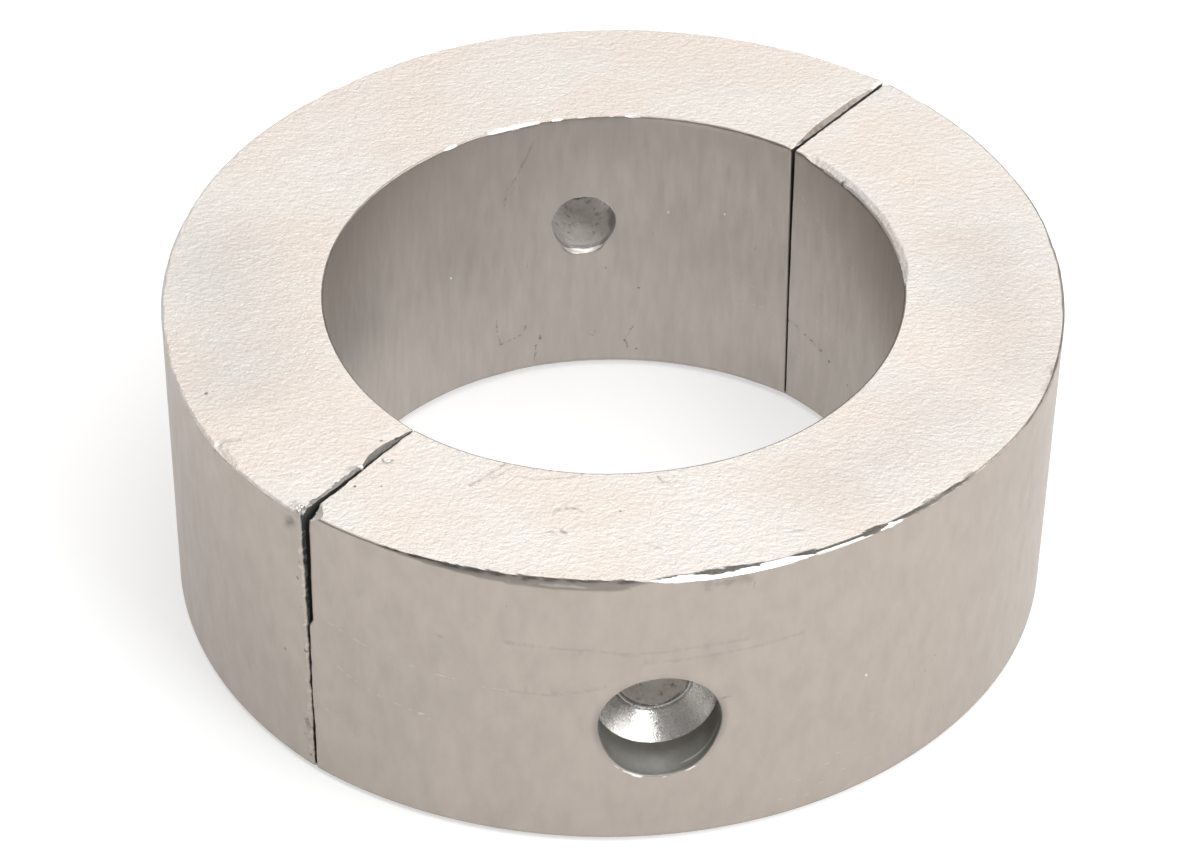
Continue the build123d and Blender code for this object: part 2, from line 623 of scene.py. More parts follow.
@dataclass
class Casting:
    """One half of the ring as a dense mesh."""

    size: CastingSize
    ring: RingSize = field(default_factory=RingSize)
    column_steps: tuple[float, float] = (0.15, 0.70)
    end_turn_steps: int = 7

    def outward(self) -> Array:
        """Level unit vector that the casting faces."""
        angle = math.radians(self.size.middle)
        return np.array([math.cos(angle), math.sin(angle)])

    def centre(self) -> Array:
        """Centre of the casting's own circles."""
        return -self.ring.centre_shift * self.outward()

    # ---- section loop

    def stations(self) -> tuple[Array, Array]:
        """Section loop as bands and shares along them.

        Returns:
            The band number and the share along it of each station.
        """
        ring = self.ring
        width = ring.outer_radius - ring.bore_radius
        shares = {
            Band.FACE: graded_shares(width, (0.2, 0.17), 0.42, (2.0, 3.2)),
            Band.RIM: np.linspace(0.0, 1.0, 5)[:-1],
            Band.WALL: graded_shares(ring.height, (0.17, 0.5), 0.98, (4.5, 2.0)),
            Band.WALL_FOOT: np.array([0.0, 0.5]),
            Band.BASE: graded_shares(width, (0.7, 0.7), 2.2, (3.0, 3.0)),
            Band.BORE_FOOT: np.array([0.0, 0.5]),
            Band.BORE: graded_shares(ring.height, (0.6, 0.2), 0.9, (2.0, 3.5)),
            Band.LIP: np.linspace(0.0, 1.0, 5)[:-1],
        }
        bands, along = [], []
        for number, band in enumerate(Band):
            values = shares[band]
            if band in (Band.WALL, Band.BORE):
                values = self.with_step_rows(values, band)
            bands.append(np.full(len(values), number))
            along.append(values)
        return np.concatenate(bands), np.concatenate(along)

    def with_step_rows(self, shares: Array, band: Band) -> Array:
        """Adds a close pair of rows at each end's step.

        Args:
            shares: Shares along the band.
            band: WALL or BORE.

        Returns:
            The shares with the pairs.
        """
        for end in self.size.ends:
            if end.step_level < self.ring.height:
                share = end.step_level / self.ring.height
                if band is Band.WALL:
                    share = 1.0 - share
                shares = shares[np.abs(shares - share) > STEP_ROOM]
                shares = np.sort(np.append(shares, [share - STEP_PAIR, share + STEP_PAIR]))
        return shares

    def end_radii(self, end: EndStep) -> Array:
        """Radius of the edge round one end, at each station.

        Args:
            end: The end.

        Returns:
            The radius at each station.
        """
        edges = self.size.edges
        level = self.loop(np.zeros((1, len(self.band_numbers))))[1][0]
        above = level > end.step_level
        radii = np.full(len(self.band_numbers), edges.toe)
        top = self.ring.height
        wall = blend(edges.wall, edges.crown, smooth_rise(level, top - 2.6, top - 0.3))
        for number, band in enumerate(Band):
            here = self.band_numbers == number
            if band is Band.FACE:
                radii[here] = blend(edges.bore, edges.crown, self.band_shares[here] ** 14)
            elif band in (Band.RIM, Band.WALL):
                radii[here & above] = wall[here & above]
            elif band in (Band.BORE, Band.LIP):
                radii[here & above] = edges.bore
        return radii

    def loop(self, inset: Array) -> tuple[Array, Array]:
        """Radius and height of each station for each inset.

        Args:
            inset: Distance in from the section's surface, one row for each column of the mesh.

        Returns:
            Radii and heights, one row for each column.
        """
        ring, size = self.ring, self.size
        radii, levels = [], []
        crest = inset[:, self.band_numbers == list(Band).index(Band.FACE)][:, :1]
        top = ring.height - crest
        for number, band in enumerate(Band):
            here = self.band_numbers == number
            share = self.band_shares[here][None, :]
            part = inset[:, here]
            rim = np.maximum(size.rim_radius - crest, LEAST_EDGE)
            lip = np.maximum(size.lip_radius - crest, LEAST_EDGE)
            if band is Band.FACE:
                level = top
                radius = blend(ring.bore(top) + crest + lip, ring.wall(top) - part[:, -1:] - rim, share)
            elif band is Band.RIM:
                turn = (1.0 - share) * QUARTER_TURN
                level = top - rim + rim * np.sin(turn)
                radius = ring.wall(level) - part - rim + rim * np.cos(turn)
            elif band is Band.WALL:
                level = self.upright(1.0 - share, (part, crest), ring.wall_bevel, size.rim_radius, rim)
                radius = ring.wall(level) - part
            elif band is Band.WALL_FOOT:
                level = part + ring.wall_bevel * (1.0 - share)
                radius = ring.wall(level) - part - ring.wall_bevel * share
            elif band is Band.BASE:
                level = part
                outer = ring.wall(0.0) - part - ring.wall_bevel
                radius = blend(outer, ring.bore(0.0) + part + ring.bore_bevel, share)
            elif band is Band.BORE_FOOT:
                level = part + ring.bore_bevel * share
                radius = ring.bore(level) + part + ring.bore_bevel * (1.0 - share)
            elif band is Band.BORE:
                level = self.upright(share, (part, crest), ring.bore_bevel, size.lip_radius, lip)
                radius = ring.bore(level) + part
            else:
                turn = share * QUARTER_TURN
                level = top - lip + lip * np.sin(turn)
                radius = ring.bore(level) + part + lip - lip * np.cos(turn)
            radii.append(np.broadcast_to(radius, part.shape))
            levels.append(np.broadcast_to(level, part.shape))
        return np.concatenate(radii, axis=1), np.concatenate(levels, axis=1)

    def upright(self, rise: Array, insets: tuple[Array, Array], foot: float, edge: float,
                inset_edge: Array) -> Array:
        """Heights up a wall, which an inset changes only near its foot and its top.

        Args:
            rise: Share of the way up.
            insets: Distances in from the section's surface, at its foot and at its top.
            foot: Height of the bevel at the foot.
            edge: Radius of the edge at the top.
            inset_edge: The same radius after the inset.

        Returns:
            The height of each point.
        """
        level = blend(foot, self.ring.height - edge, rise)
        near_top = np.clip(1.0 - (self.ring.height - edge - level) / INSET_FADE, 0.0, 1.0)
        near_foot = np.clip(1.0 - (level - foot) / INSET_FADE, 0.0, 1.0)
        return level + (edge - insets[1] - inset_edge) * near_top + insets[0] * near_foot

    # ---- sweep

    def sweep(self) -> tuple[Array, Array, Array]:
        """Radius, angle from the middle and height of the swept grid.

        Returns:
            Three arrays of one row for each column and one value for each station.
        """
        size, ring = self.size, self.ring
        stations = len(self.band_numbers)
        turns = np.linspace(0.0, QUARTER_TURN, self.end_turn_steps + 1)[1:, None]
        low, high = (self.end_radii(end) for end in size.ends)
        fine, coarse = self.column_steps
        shares = graded_shares(math.pi * ring.outer_radius, (fine, fine), coarse, (3.0, 3.0))
        main = np.append(shares, 1.0) * 2.0 - 1.0
        across, down = 1.0 - np.cos(turns), 1.0 - np.sin(turns)
        inset = np.vstack([(low * across)[::-1], np.zeros((len(main), stations)), high * across])
        depth = np.vstack([(low * down)[::-1], np.where(main[:, None] < 0.0, low, high), high * down])
        along = np.concatenate([-np.ones(len(turns)), main, np.ones(len(turns))])
        radius, level = self.loop(inset)
        nominal_level = self.loop(np.zeros((1, stations)))[1]
        reach = size.end_reach + ring.centre_shift
        plain = np.arccos((reach + size.edges.toe) / radius)
        angle = along[:, None] * plain
        for side, end in zip((-1, 1), size.ends):
            above = nominal_level > end.step_level
            back = end.setback(radius, level, above, ring)
            exact = np.arccos((reach + back + depth) / radius)
            share = smooth_rise(side * along, 0.93, 1.0)[:, None]
            angle += side * share * (exact - plain)
        return radius, angle, level

    def to_world(self, radius: Array, angle: Array, level: Array) -> Array:
        """Points of the frame from radius, angle from the middle and height.

        Args:
            radius: Distances from the casting's own centre.
            angle: Angles from its middle, in radians.
            level: Heights.

        Returns:
            The x, y and z of each point, on a last axis.
        """
        turn = angle + math.radians(self.size.middle)
        centre = self.centre()
        east, north = centre[0] + radius * np.cos(turn), centre[1] + radius * np.sin(turn)
        return np.stack([east, north, level], axis=-1)

    def wall_depth(self, hole: ScrewHole, sideways: Array, rise: Array,
                   surface: Surface) -> Array:
        """Distance from the ring's axis to a wall, along lines beside a hole's axis.

        Args:
            hole: The hole whose axis the lines follow.
            sideways: Level distance of each line from the hole's axis.
            rise: Height of each line.
            surface: WALL or BORE.

        Returns:
            The distance along each line.
        """
        centre = self.centre()
        along = float(centre @ hole.axis()[:2])
        across = float(centre @ hole.across()[:2])
        radius = self.ring.wall(rise) if surface is Surface.WALL else self.ring.bore(rise)
        return along + np.sqrt(radius ** 2 - (sideways - across) ** 2)

    def seat_depths(self, hole: ScrewHole) -> tuple[float, float]:
        """Distances from the ring's axis to the top and to the floor of a seat's cone."""
        mouth = float(self.wall_depth(hole, np.zeros(1), np.full(1, hole.level), Surface.WALL)[0])
        return mouth - hole.seat_depth, mouth - hole.seat_depth - hole.cone_length()

    def build_shell(self) -> Shell:
        """Puts the whole casting together, closed and undamaged.

        Returns:
            The mesh.
        """
        self.band_numbers, self.band_shares = self.stations()
        radius, angle, level = self.sweep()
        points = self.to_world(radius, angle, level)
        columns, stations = radius.shape
        shell = Shell()
        numbers = shell.add_points(points.reshape(-1, 3)).reshape(columns, stations)
        open_cells = np.zeros((columns, stations), dtype=bool)
        for hole in self.size.holes:
            self.let_in_hole(shell, hole, points, numbers, open_cells)
        bands = list(Band)
        ahead = np.roll(numbers, -1, axis=1)
        for number, band in enumerate(bands):
            finish = Finish.WALL
            if band in (Band.FACE, Band.BASE):
                finish = Finish.FACE
            elif band in (Band.BORE, Band.BORE_FOOT):
                finish = Finish.BORE
            elif band is Band.RIM:
                finish = self.size.rim_finish
            here = np.flatnonzero(self.band_numbers == number)
            first, last = here[0], here[-1] + 1
            keep = ~open_cells[:-1, first:last]
            quads = np.stack([numbers[:-1, first:last], ahead[:-1, first:last],
                              ahead[1:, first:last], numbers[1:, first:last]], axis=-1)[keep]
            shell.add_faces([tuple(row) for row in quads.tolist()], finish)
        self.close_end(shell, numbers[0], radius[0], level[0], -1)
        self.close_end(shell, numbers[-1], radius[-1], level[-1], 1)
        return shell

    def window(self, hole: ScrewHole, points: Array, band: Band,
               reach: float) -> tuple[int, int, int, int]:
        """Cells of a wall that are cleared for a hole.

        Args:
            hole: The hole.
            points: Swept grid.
            band: WALL or BORE.
            reach: Least distance from the hole's axis to the cleared edge.

        Returns:
            First and last column and first and last station.
        """
        stations = np.flatnonzero(self.band_numbers == list(Band).index(band))
        middle = points[:, stations[len(stations) // 2]]
        sideways = middle @ hole.across()
        facing = middle @ hole.axis() > 0
        columns = np.flatnonzero((np.abs(sideways) < reach) & facing)
        rise = points[len(points) // 2, stations, 2] - hole.level
        rows = stations[np.abs(rise) < reach]
        return int(columns[0]) - 1, int(columns[-1]) + 1, int(rows.min()) - 1, int(rows.max()) + 1

    def window_ring(self, hole: ScrewHole, points: Array, numbers: Array,
                    box: tuple[int, int, int, int]) -> tuple[Array, Array, Array]:
        """Edge of a cleared window, in order of angle round the hole.

        Args:
            hole: The hole.
            points: Swept grid.
            numbers: Vertex numbers of the grid.
            box: First and last column and station.

        Returns:
            Vertex numbers, angles and distances from the hole's axis.
        """
        low_column, high_column, low_row, high_row = box
        cells = [(column, low_row) for column in range(low_column, high_column)]
        cells += [(high_column, row) for row in range(low_row, high_row)]
        cells += [(column, high_row) for column in range(high_column, low_column, -1)]
        cells += [(low_column, row) for row in range(high_row, low_row, -1)]
        edge = np.array(cells)
        places = points[edge[:, 0], edge[:, 1]]
        sideways = places @ hole.across()
        rise = places[:, 2] - hole.level
        angles = np.arctan2(rise, sideways)
        order = np.argsort(angles)
        return numbers[edge[:, 0], edge[:, 1]][order], angles[order], np.hypot(sideways, rise)[order]

    def let_in_hole(self, shell: Shell, hole: ScrewHole, points: Array, numbers: Array,
                    open_cells: Array) -> None:
        """Clears a window in both walls and fills it with the hole and its seat.

        Args:
            shell: The mesh.
            hole: The hole.
            points: Swept grid.
            numbers: Vertex numbers of the grid.
            open_cells: Cells without a face, which the windows are added to.
        """
        wall_box = self.window(hole, points, Band.WALL, hole.seat_radius + 2.4)
        bore_box = self.window(hole, points, Band.BORE, hole.hole_radius + 2.2)
        for box in (wall_box, bore_box):
            open_cells[box[0]:box[1], box[2]:box[3]] = True
        edge = self.window_ring(hole, points, numbers, wall_box)
        angles = edge[1]
        ring = self.fill_window(shell, hole, Surface.WALL, edge, hole.seat_radius + 0.12)
        mouth = self.mouth_depth(hole, hole.seat_radius, angles, Surface.WALL)
        cone_top, cone_floor = self.seat_depths(hole)
        rings = []
        for share in POCKET_SHARES:
            rings.append((blend(mouth, cone_top, share), hole.seat_radius, Finish.POCKET))
        for share in CONE_SHARES:
            radius = blend(hole.seat_radius, hole.floor_radius, share)
            rings.append((blend(cone_top, cone_floor, share), radius, Finish.CONE))
        for drop, inset in LEDGE_STEPS:
            rings.append((cone_floor - drop, hole.floor_radius - inset, Finish.CONE))
        ring = self.add_rings(shell, hole, ring, angles, rings)
        edge = self.window_ring(hole, points, numbers, bore_box)
        bore_angles = edge[1]
        inner = self.fill_window(shell, hole, Surface.BORE, edge, hole.hole_radius + 0.1)
        bore_mouth = self.mouth_depth(hole, hole.hole_radius, bore_angles, Surface.BORE)
        throat_end = cone_floor - LEDGE_STEPS[-1][0]
        rings = [(blend(bore_mouth, throat_end, share), hole.hole_radius, Finish.HOLE)
                 for share in THROAT_SHARES]
        inner = self.add_rings(shell, hole, inner, bore_angles, rings)
        shell.zip_rings(ring, angles, inner, bore_angles, Finish.CONE)

    def mouth_depth(self, hole: ScrewHole, radius: Array | float, angles: Array,
                    surface: Surface) -> Array:
        """Distance from the ring's axis to a wall, at points round a hole's axis."""
        return self.wall_depth(hole, radius * np.cos(angles), hole.level + radius * np.sin(angles), surface)

    def fill_window(self, shell: Shell, hole: ScrewHole, surface: Surface,
                    edge: tuple[Array, Array, Array], mouth_radius: float) -> Array:
        """Fills a window with rings that turn from its edge into a circle round the hole.

        Args:
            shell: The mesh.
            hole: The hole.
            surface: WALL or BORE.
            edge: Vertex numbers, angles and distances of the window's edge.
            mouth_radius: Radius of the last ring.

        Returns:
            Vertex numbers of the last ring.
        """
        ring, angles, reach = edge
        finish = Finish.WALL if surface is Surface.WALL else Finish.BORE
        for share in WINDOW_SHARES[surface]:
            radius = blend(reach, mouth_radius, share)
            depth = self.mouth_depth(hole, radius, angles, surface)
            after = shell.add_points(hole.place(depth, radius, angles))
            shell.join_rings(ring, after, finish)
            ring = after
        return ring

    def add_rings(self, shell: Shell, hole: ScrewHole, ring: Array, angles: Array,
                  rings: list[tuple[Array, float, Finish]]) -> Array:
        """Adds rings one after another round a hole's axis.

        Args:
            shell: The mesh.
            hole: The hole.
            ring: Vertex numbers of the ring to start from.
            angles: Angles of its vertices.
            rings: Depth, radius and finish of each new ring.

        Returns:
            Vertex numbers of the last ring.
        """
        for depth, radius, finish in rings:
            after = shell.add_points(hole.place(depth, np.full(len(angles), radius), angles))
            shell.join_rings(ring, after, finish)
            ring = after
        return ring

    def close_end(self, shell: Shell, numbers: Array, radius: Array, level: Array,
                  side: int) -> None:
        """Fills one end face.

        Args:
            shell: The mesh.
            numbers: Vertex numbers of the end's loop.
            radius: Radii of the loop.
            level: Heights of the loop.
            side: -1 or 1, which end.
        """
        end = self.size.ends[(side + 1) // 2]
        reach = self.size.end_reach + self.ring.centre_shift
        inset = max(self.size.edges.wall, self.size.edges.toe)
        above = self.loop(np.zeros((1, len(numbers))))[1][0] > end.step_level
        depth = reach + end.setback(radius, level, above, self.ring)
        edge = np.stack([np.sqrt(radius ** 2 - depth ** 2), level], axis=1)
        low, high = edge.min(axis=0), edge.max(axis=0)
        rows = np.arange(low[1] + 1.2, high[1] - 1.0, 1.5)
        step = end.step_level
        if step < self.ring.height:
            rows = np.sort(np.append(rows[np.abs(rows - step) > 0.5], [step - 0.04, step + 0.04]))
        spots = [(across, row) for row in rows for across in np.arange(low[0] + 1.5, high[0] - 1.2, 1.4)]
        inside = np.array([spot for spot in spots if self.inside_section(spot, inset + 0.7, reach)])
        flat = [Vector(spot) for spot in np.vstack([edge, inside]).tolist()]
        border = [(k, (k + 1) % len(edge)) for k in range(len(edge))]
        places, _, faces, origins, _, _ = delaunay_2d_cdt(flat, border, [], 1, 1e-7)
        own = np.full(len(places), -1)
        for place, source in enumerate(origins):
            if source and source[0] < len(edge):
                own[place] = numbers[source[0]]
        new = np.flatnonzero(own < 0)
        spots = np.array([tuple(places[k]) for k in new])
        depth = reach + end.setback(np.hypot(spots[:, 0], reach), spots[:, 1], spots[:, 1] > step, self.ring)
        turn = side * np.arctan2(spots[:, 0], depth)
        own[new] = shell.add_points(self.to_world(np.hypot(spots[:, 0], depth), turn, spots[:, 1]))
        shell.add_faces([tuple(int(own[k]) for k in face) for face in faces], Finish.SPLIT)

    def inside_section(self, spot: tuple[float, float], margin: float, reach: float) -> bool:
        """True where a point of an end face is well inside its edge.

        Args:
            spot: Distance across the face and height.
            margin: Least distance from the edge.
            reach: Distance of the face from the casting's centre.

        Returns:
            True where it is.
        """
        radius = math.hypot(spot[0], reach)
        low = float(self.ring.bore(spot[1])) + margin
        high = float(self.ring.wall(spot[1])) - margin
        return low < radius < high and margin + 0.4 < spot[1] < self.ring.height - margin

    # ---- wear, with painted shade and highlights

    def refine(self, mesh: bpy.types.Mesh) -> None:
        """Splits the faces near marks so that they come out sharp.

        Args:
            mesh: The casting's mesh.
        """
        work = bmesh.new()
        work.from_mesh(mesh)
        work.faces.ensure_lookup_table()
        middles = np.array([face.calc_center_median()[:] for face in work.faces])
        near = np.zeros(len(middles), dtype=bool)
        field_of = SurfaceField(self, middles)
        for mark in self.size.marks:
            if mark.height > 0.0:
                near |= field_of.distance(mark) < mark.width * 1.6 + 0.3
        for cut in self.size.cuts:
            if cut.edge is Edge.SEAM:
                outer = (field_of.below_top < cut.downward + 0.5) & (field_of.in_end < cut.inward + 0.3)
                near |= outer & (field_of.span_share(cut) > 0.0)
        edges = {edge for number in np.flatnonzero(near) for edge in work.faces[int(number)].edges}
        if edges:
            bmesh.ops.subdivide_edges(work, edges=list(edges), cuts=2, use_grid_fill=True)
        spare = [vertex for vertex in work.verts if not vertex.link_faces]
        bmesh.ops.delete(work, geom=spare, context="VERTS")
        crowded = [face for face in work.faces if len(face.verts) > 4]
        bmesh.ops.triangulate(work, faces=crowded)
        bmesh.ops.recalc_face_normals(work, faces=work.faces)
        work.to_mesh(mesh)
        work.free()

    def recast_faces(self, mesh: bpy.types.Mesh, recast: Array) -> None:
        """Gives the faces inside some worn flats the flats' own finish.

        Args:
            mesh: The casting's mesh.
            recast: For each vertex, the number of its new finish, or -1.
        """
        corners = np.empty(len(mesh.loops), dtype=np.int32)
        mesh.loops.foreach_get("vertex_index", corners)
        starts = np.empty(len(mesh.polygons), dtype=np.int32)
        mesh.polygons.foreach_get("loop_start", starts)
        finishes = np.empty(len(mesh.polygons), dtype=np.int32)
        mesh.polygons.foreach_get("material_index", finishes)
        lowest = np.minimum.reduceat(recast[corners], starts)
        mesh.polygons.foreach_set("material_index", np.where(lowest >= 0, lowest, finishes).astype(np.int32))

    def make(self) -> bpy.types.Object:
        """Builds the casting as a Blender object that stands for its node.

        Returns:
            The object.
        """
        shell = self.build_shell()
        mesh = bpy.data.meshes.new(self.size.name)
        mesh.from_pydata(np.vstack(shell.blocks).tolist(), [], shell.faces)
        mesh.polygons.foreach_set("material_index", shell.finishes)
        self.refine(mesh)
        mesh.update()
        points = np.empty(len(mesh.vertices) * 3)
        mesh.vertices.foreach_get("co", points)
        normals = np.empty(len(mesh.vertices) * 3)
        mesh.vertices.foreach_get("normal", normals)
        surface = SurfaceField(self, points.reshape(-1, 3), normals.reshape(-1, 3))
        surface.wear()
        self.recast_faces(mesh, surface.recast)
        mesh.vertices.foreach_set("co", (surface.points * MM).ravel())
        for coat, values in surface.coats.items():
            layer = mesh.attributes.new(coat.value, "FLOAT", "POINT")
            layer.data.foreach_set("value", values)
        mesh.polygons.foreach_set("use_smooth", np.ones(len(mesh.polygons), dtype=bool))
        mesh.update()
        item = bpy.data.objects.new(self.size.name, mesh)
        bpy.context.scene.collection.objects.link(item)
        LOG.info("%s: %d vertices, %d faces", self.size.name, len(mesh.vertices), len(mesh.polygons))
        return item


class SurfaceField:
    """Where each vertex of a casting lies on it, and what wear, painted shade and painted highlights do to it
    there.
    """

    def __init__(self, casting: Casting, points: Array, normals: Array | None = None) -> None:
        """Measures the points.

        Args:
            casting: The casting.
            points: One row of x, y, z for each.
            normals: Their outward directions, where they are to be moved.
        """
        ring = casting.ring
        self.casting = casting
        self.size = casting.size
        self.start = points
        self.points = points.copy()
        self.normals = normals
        flat = points[:, :2] - casting.centre()
        self.radius = np.hypot(flat[:, 0], flat[:, 1])
        self.azimuth = np.degrees(np.arctan2(points[:, 1], points[:, 0]))
        self.below_top = ring.height - points[:, 2]
        self.in_wall = ring.wall(points[:, 2]) - self.radius
        self.in_bore = self.radius - ring.bore(points[:, 2])
        self.in_end = points[:, :2] @ casting.outward() - self.size.end_reach
        self.along_end = points[:, :2] @ np.array([-casting.outward()[1], casting.outward()[0]])
        self.coats: dict[Coat, Array] = {coat: np.zeros(len(points)) for coat in Coat}
        self.coats[Coat.GRAIN] += 1.0
        self.recast = np.full(len(points), -1)
        self.hole_depth, self.hole_reach, self.hole_angle = self.measure_holes()
        inside = (self.hole_reach < SEAT_SIDE) & (self.in_wall > 0.02) & (self.in_bore > 0.02)
        self.in_hole = inside & (self.below_top > 2.0) & (points[:, 2] > 2.0)
        open_wall = ~self.in_hole
        self.on_face = (self.below_top < SKIN) & open_wall
        self.on_base = (points[:, 2] < SKIN) & open_wall
        self.on_wall = (self.in_wall < SKIN) & open_wall
        self.on_bore = (self.in_bore < SKIN) & open_wall
        self.in_throat = self.in_hole & (self.hole_reach < THROAT_SIDE)
        self.low = -np.sin(self.hole_angle)
        self.side = np.cos(self.hole_angle)

    def measure_holes(self) -> tuple[Array, Array, Array]:
        """Depth along, distance from and angle round the nearer hole's axis, for each point.

        Returns:
            The three values, as three arrays.
        """
        depth = np.zeros(len(self.start))
        reach = np.full(len(self.start), FAR)
        turn = np.zeros(len(self.start))
        for hole in self.size.holes:
            along = self.start @ hole.axis()
            sideways = self.start @ hole.across()
            rise = self.start[:, 2] - hole.level
            away = np.hypot(sideways, rise)
            nearer = (away < reach) & (along > 0)
            depth = np.where(nearer, along, depth)
            turn = np.where(nearer, np.arctan2(rise, sideways), turn)
            reach = np.where(nearer, away, reach)
        return depth, reach, turn

    def chart(self, surface: Surface) -> Array:
        """Flat coordinates on a surface, in millimetres.

        Args:
            surface: The surface.

        Returns:
            One row of two for each point.
        """
        if surface is Surface.FACE:
            return self.start[:, :2]
        radius = self.casting.ring.outer_radius if surface is Surface.WALL else self.casting.ring.bore_radius
        return np.stack([np.radians(self.azimuth) * radius, self.start[:, 2]], axis=1)

    def mark_path(self, mark: Mark) -> Array:
        """Path of a mark in the flat coordinates of its surface.

        Args:
            mark: The mark.

        Returns:
            One row of two for each corner.
        """
        path = np.array(mark.path, dtype=float)
        if mark.surface is not Surface.FACE:
            ring = self.casting.ring
            radius = ring.outer_radius if mark.surface is Surface.WALL else ring.bore_radius
            path[:, 0] = np.radians(path[:, 0]) * radius
        return path

    def distance(self, mark: Mark, signed: bool = False) -> Array:
        """Distance of each point from a mark's path, and far away on other surfaces.

        Args:
            mark: The mark.
            signed: True to make the distance negative on the path's right.

        Returns:
            The distance of each point.
        """
        spots = self.chart(mark.surface)
        path = self.mark_path(mark)
        masks = {Surface.FACE: self.on_face, Surface.WALL: self.on_wall, Surface.BORE: self.on_bore}
        on = masks[mark.surface]
        result = np.full(len(spots), FAR)
        margin = 5.0 + 3.0 * mark.width
        low, high = path.min(axis=0) - margin, path.max(axis=0) + margin
        chosen = np.flatnonzero(on & (spots >= low).all(axis=1) & (spots <= high).all(axis=1))
        near = spots[chosen]
        best = np.full(len(chosen), FAR)
        sign = np.ones(len(chosen))
        pairs = list(zip(path[:-1], path[1:])) or [(path[0], path[0])]
        for start, stop in pairs:
            run = stop - start
            share = np.clip(((near - start) @ run) / max(float(run @ run), TINY), 0.0, 1.0)
            away = near - (start + share[:, None] * run)
            gap = np.hypot(away[:, 0], away[:, 1])
            closer = gap < best
            best = np.where(closer, gap, best)
            sign = np.where(closer, np.sign(run[0] * away[:, 1] - run[1] * away[:, 0] + TINY), sign)
        result[chosen] = best * sign if signed else best
        return result

    # ---- layers of wear, painted shade and painted highlights

    def push(self, height: Array) -> None:
        """Moves each point along its outward direction."""
        self.points += self.normals * height[:, None]

    def cut_edges(self) -> None:
        """Cuts the worn flats along the rim, the lip and the seams, one after another."""
        for cut in self.size.cuts:
            self.cut_edge(cut)

    def noise(self, size: float, pattern: Pattern, stretch: Triple | None = None,
              extra: int = 0) -> Array:
        """One of the casting's noise patterns at its points.

        Args:
            size: Width of a hump in millimetres.
            pattern: The pattern.
            stretch: How much closer together the humps lie along x, y and z.
            extra: Added to the seed, for the later holes of a casting.

        Returns:
            The noise at each point, from about -1 to 1.
        """
        spots = self.start if stretch is None else self.start * np.array(stretch)
        return swell(spots, size, self.size.seed + pattern + extra)

    def waves(self, layers: tuple[Wave, ...]) -> Array:
        """Sum of some layers of unevenness at the points."""
        return sum(wave.height * self.noise(wave.size, wave.pattern, wave.stretch) for wave in layers)

    def cover(self, coat: Coat, amount: Array, where: Array | bool = True) -> None:
        """Raises a coat to at least an amount where a mask is true."""
        present = self.coats[coat]
        self.coats[coat] = np.where(where, np.maximum(present, amount), present)

    def reset(self, coat: Coat, amount: Array | float, where: Array) -> None:
        """Sets a coat to an amount where a mask is true."""
        self.coats[coat] = np.where(where, amount, self.coats[coat])

    def cut_edge(self, cut: EdgeCut) -> None:
        """Presses the points outside one worn flat down onto it, and paints its highlight, darkening and
        shade.

        Args:
            cut: The flat.
        """
        ring = self.casting.ring
        flat = self.points[:, :2] - self.casting.centre()
        radius = np.hypot(flat[:, 0], flat[:, 1])
        level = self.points[:, 2]
        if cut.edge is Edge.SEAM:
            sideways = self.points[:, :2] @ self.casting.outward() - self.size.end_reach
            direction = np.broadcast_to(self.casting.outward(), flat.shape)
        elif cut.edge is Edge.LIP:
            sideways = radius - ring.bore(level)
            direction = flat / radius[:, None]
        else:
            sideways = ring.wall(level) - radius
            direction = -flat / radius[:, None]
        share = self.span_share(cut)
        rough = 1.0 + cut.ragged * self.noise(cut.ragged_size, Pattern.CUT, (1.0, 1.0, 0.4))
        rough = rough + 0.5 * cut.ragged * self.noise(cut.ragged_size * 3.1, Pattern.CUT_WIDE)
        inward = np.maximum(cut.inward * share * rough, LEAST_CUT)
        downward = np.maximum(cut.downward * share * rough, LEAST_CUT)
        measure = sideways / inward + (ring.height - level) / downward
        hit = (measure < 1.0) & (share > 0.01) & ~self.in_hole & (self.below_top < 8.0)
        if cut.edge is not Edge.SEAM:
            hit &= self.in_end > 0.0
        step = np.where(hit, (1.0 - measure) / (1.0 / inward ** 2 + 1.0 / downward ** 2), 0.0)
        self.points[:, :2] += direction * (step / inward)[:, None]
        self.points[:, 2] -= step / downward
        inside = np.where(hit, smooth_rise(1.0 - measure, 0.0, 0.10) * smooth_rise(share, 0.02, 0.2), 0.0)
        well_inside = inside > 0.5
        # Inside the flat, its own painted highlight and painted shade replace those from before.
        self.reset(Coat.PAINTED_HIGHLIGHT_AND_POLISH, 0.0, well_inside)
        self.reset(Coat.SHADE, 0.0, well_inside)
        self.cover(Coat.PAINTED_HIGHLIGHT_AND_POLISH, cut.painted_highlight_and_polish * inside)
        self.cover(Coat.STAIN_AND_PAINTED_SHADE, cut.stain_and_painted_shade * inside)
        self.cover(Coat.SHADE, cut.shade * inside)
        self.coats[Coat.GRAIN] *= 1.0 - 0.8 * inside * cut.painted_highlight_and_polish
        # A paler or darker finish here stands in for light or shade on the flat.
        if cut.finish is not None:
            self.recast = np.where(well_inside, int(cut.finish), self.recast)

    def span_share(self, cut: EdgeCut) -> Array:
        """1 within a cut's span, fading to 0 over its taper inside its two ends.

        Args:
            cut: The cut.

        Returns:
            The share for each point.
        """
        if cut.edge is Edge.SEAM:
            place = self.along_end - cut.start
        else:
            place = (self.azimuth - cut.start + 180.0) % 360.0 - 180.0
        length = cut.stop - cut.start
        if cut.edge is not Edge.SEAM:
            place = np.where(place < length - 270.0, place + 360.0, place)
        return smooth_rise(place, 0.0, cut.taper[0]) * smooth_rise(length - place, 0.0, cut.taper[1])

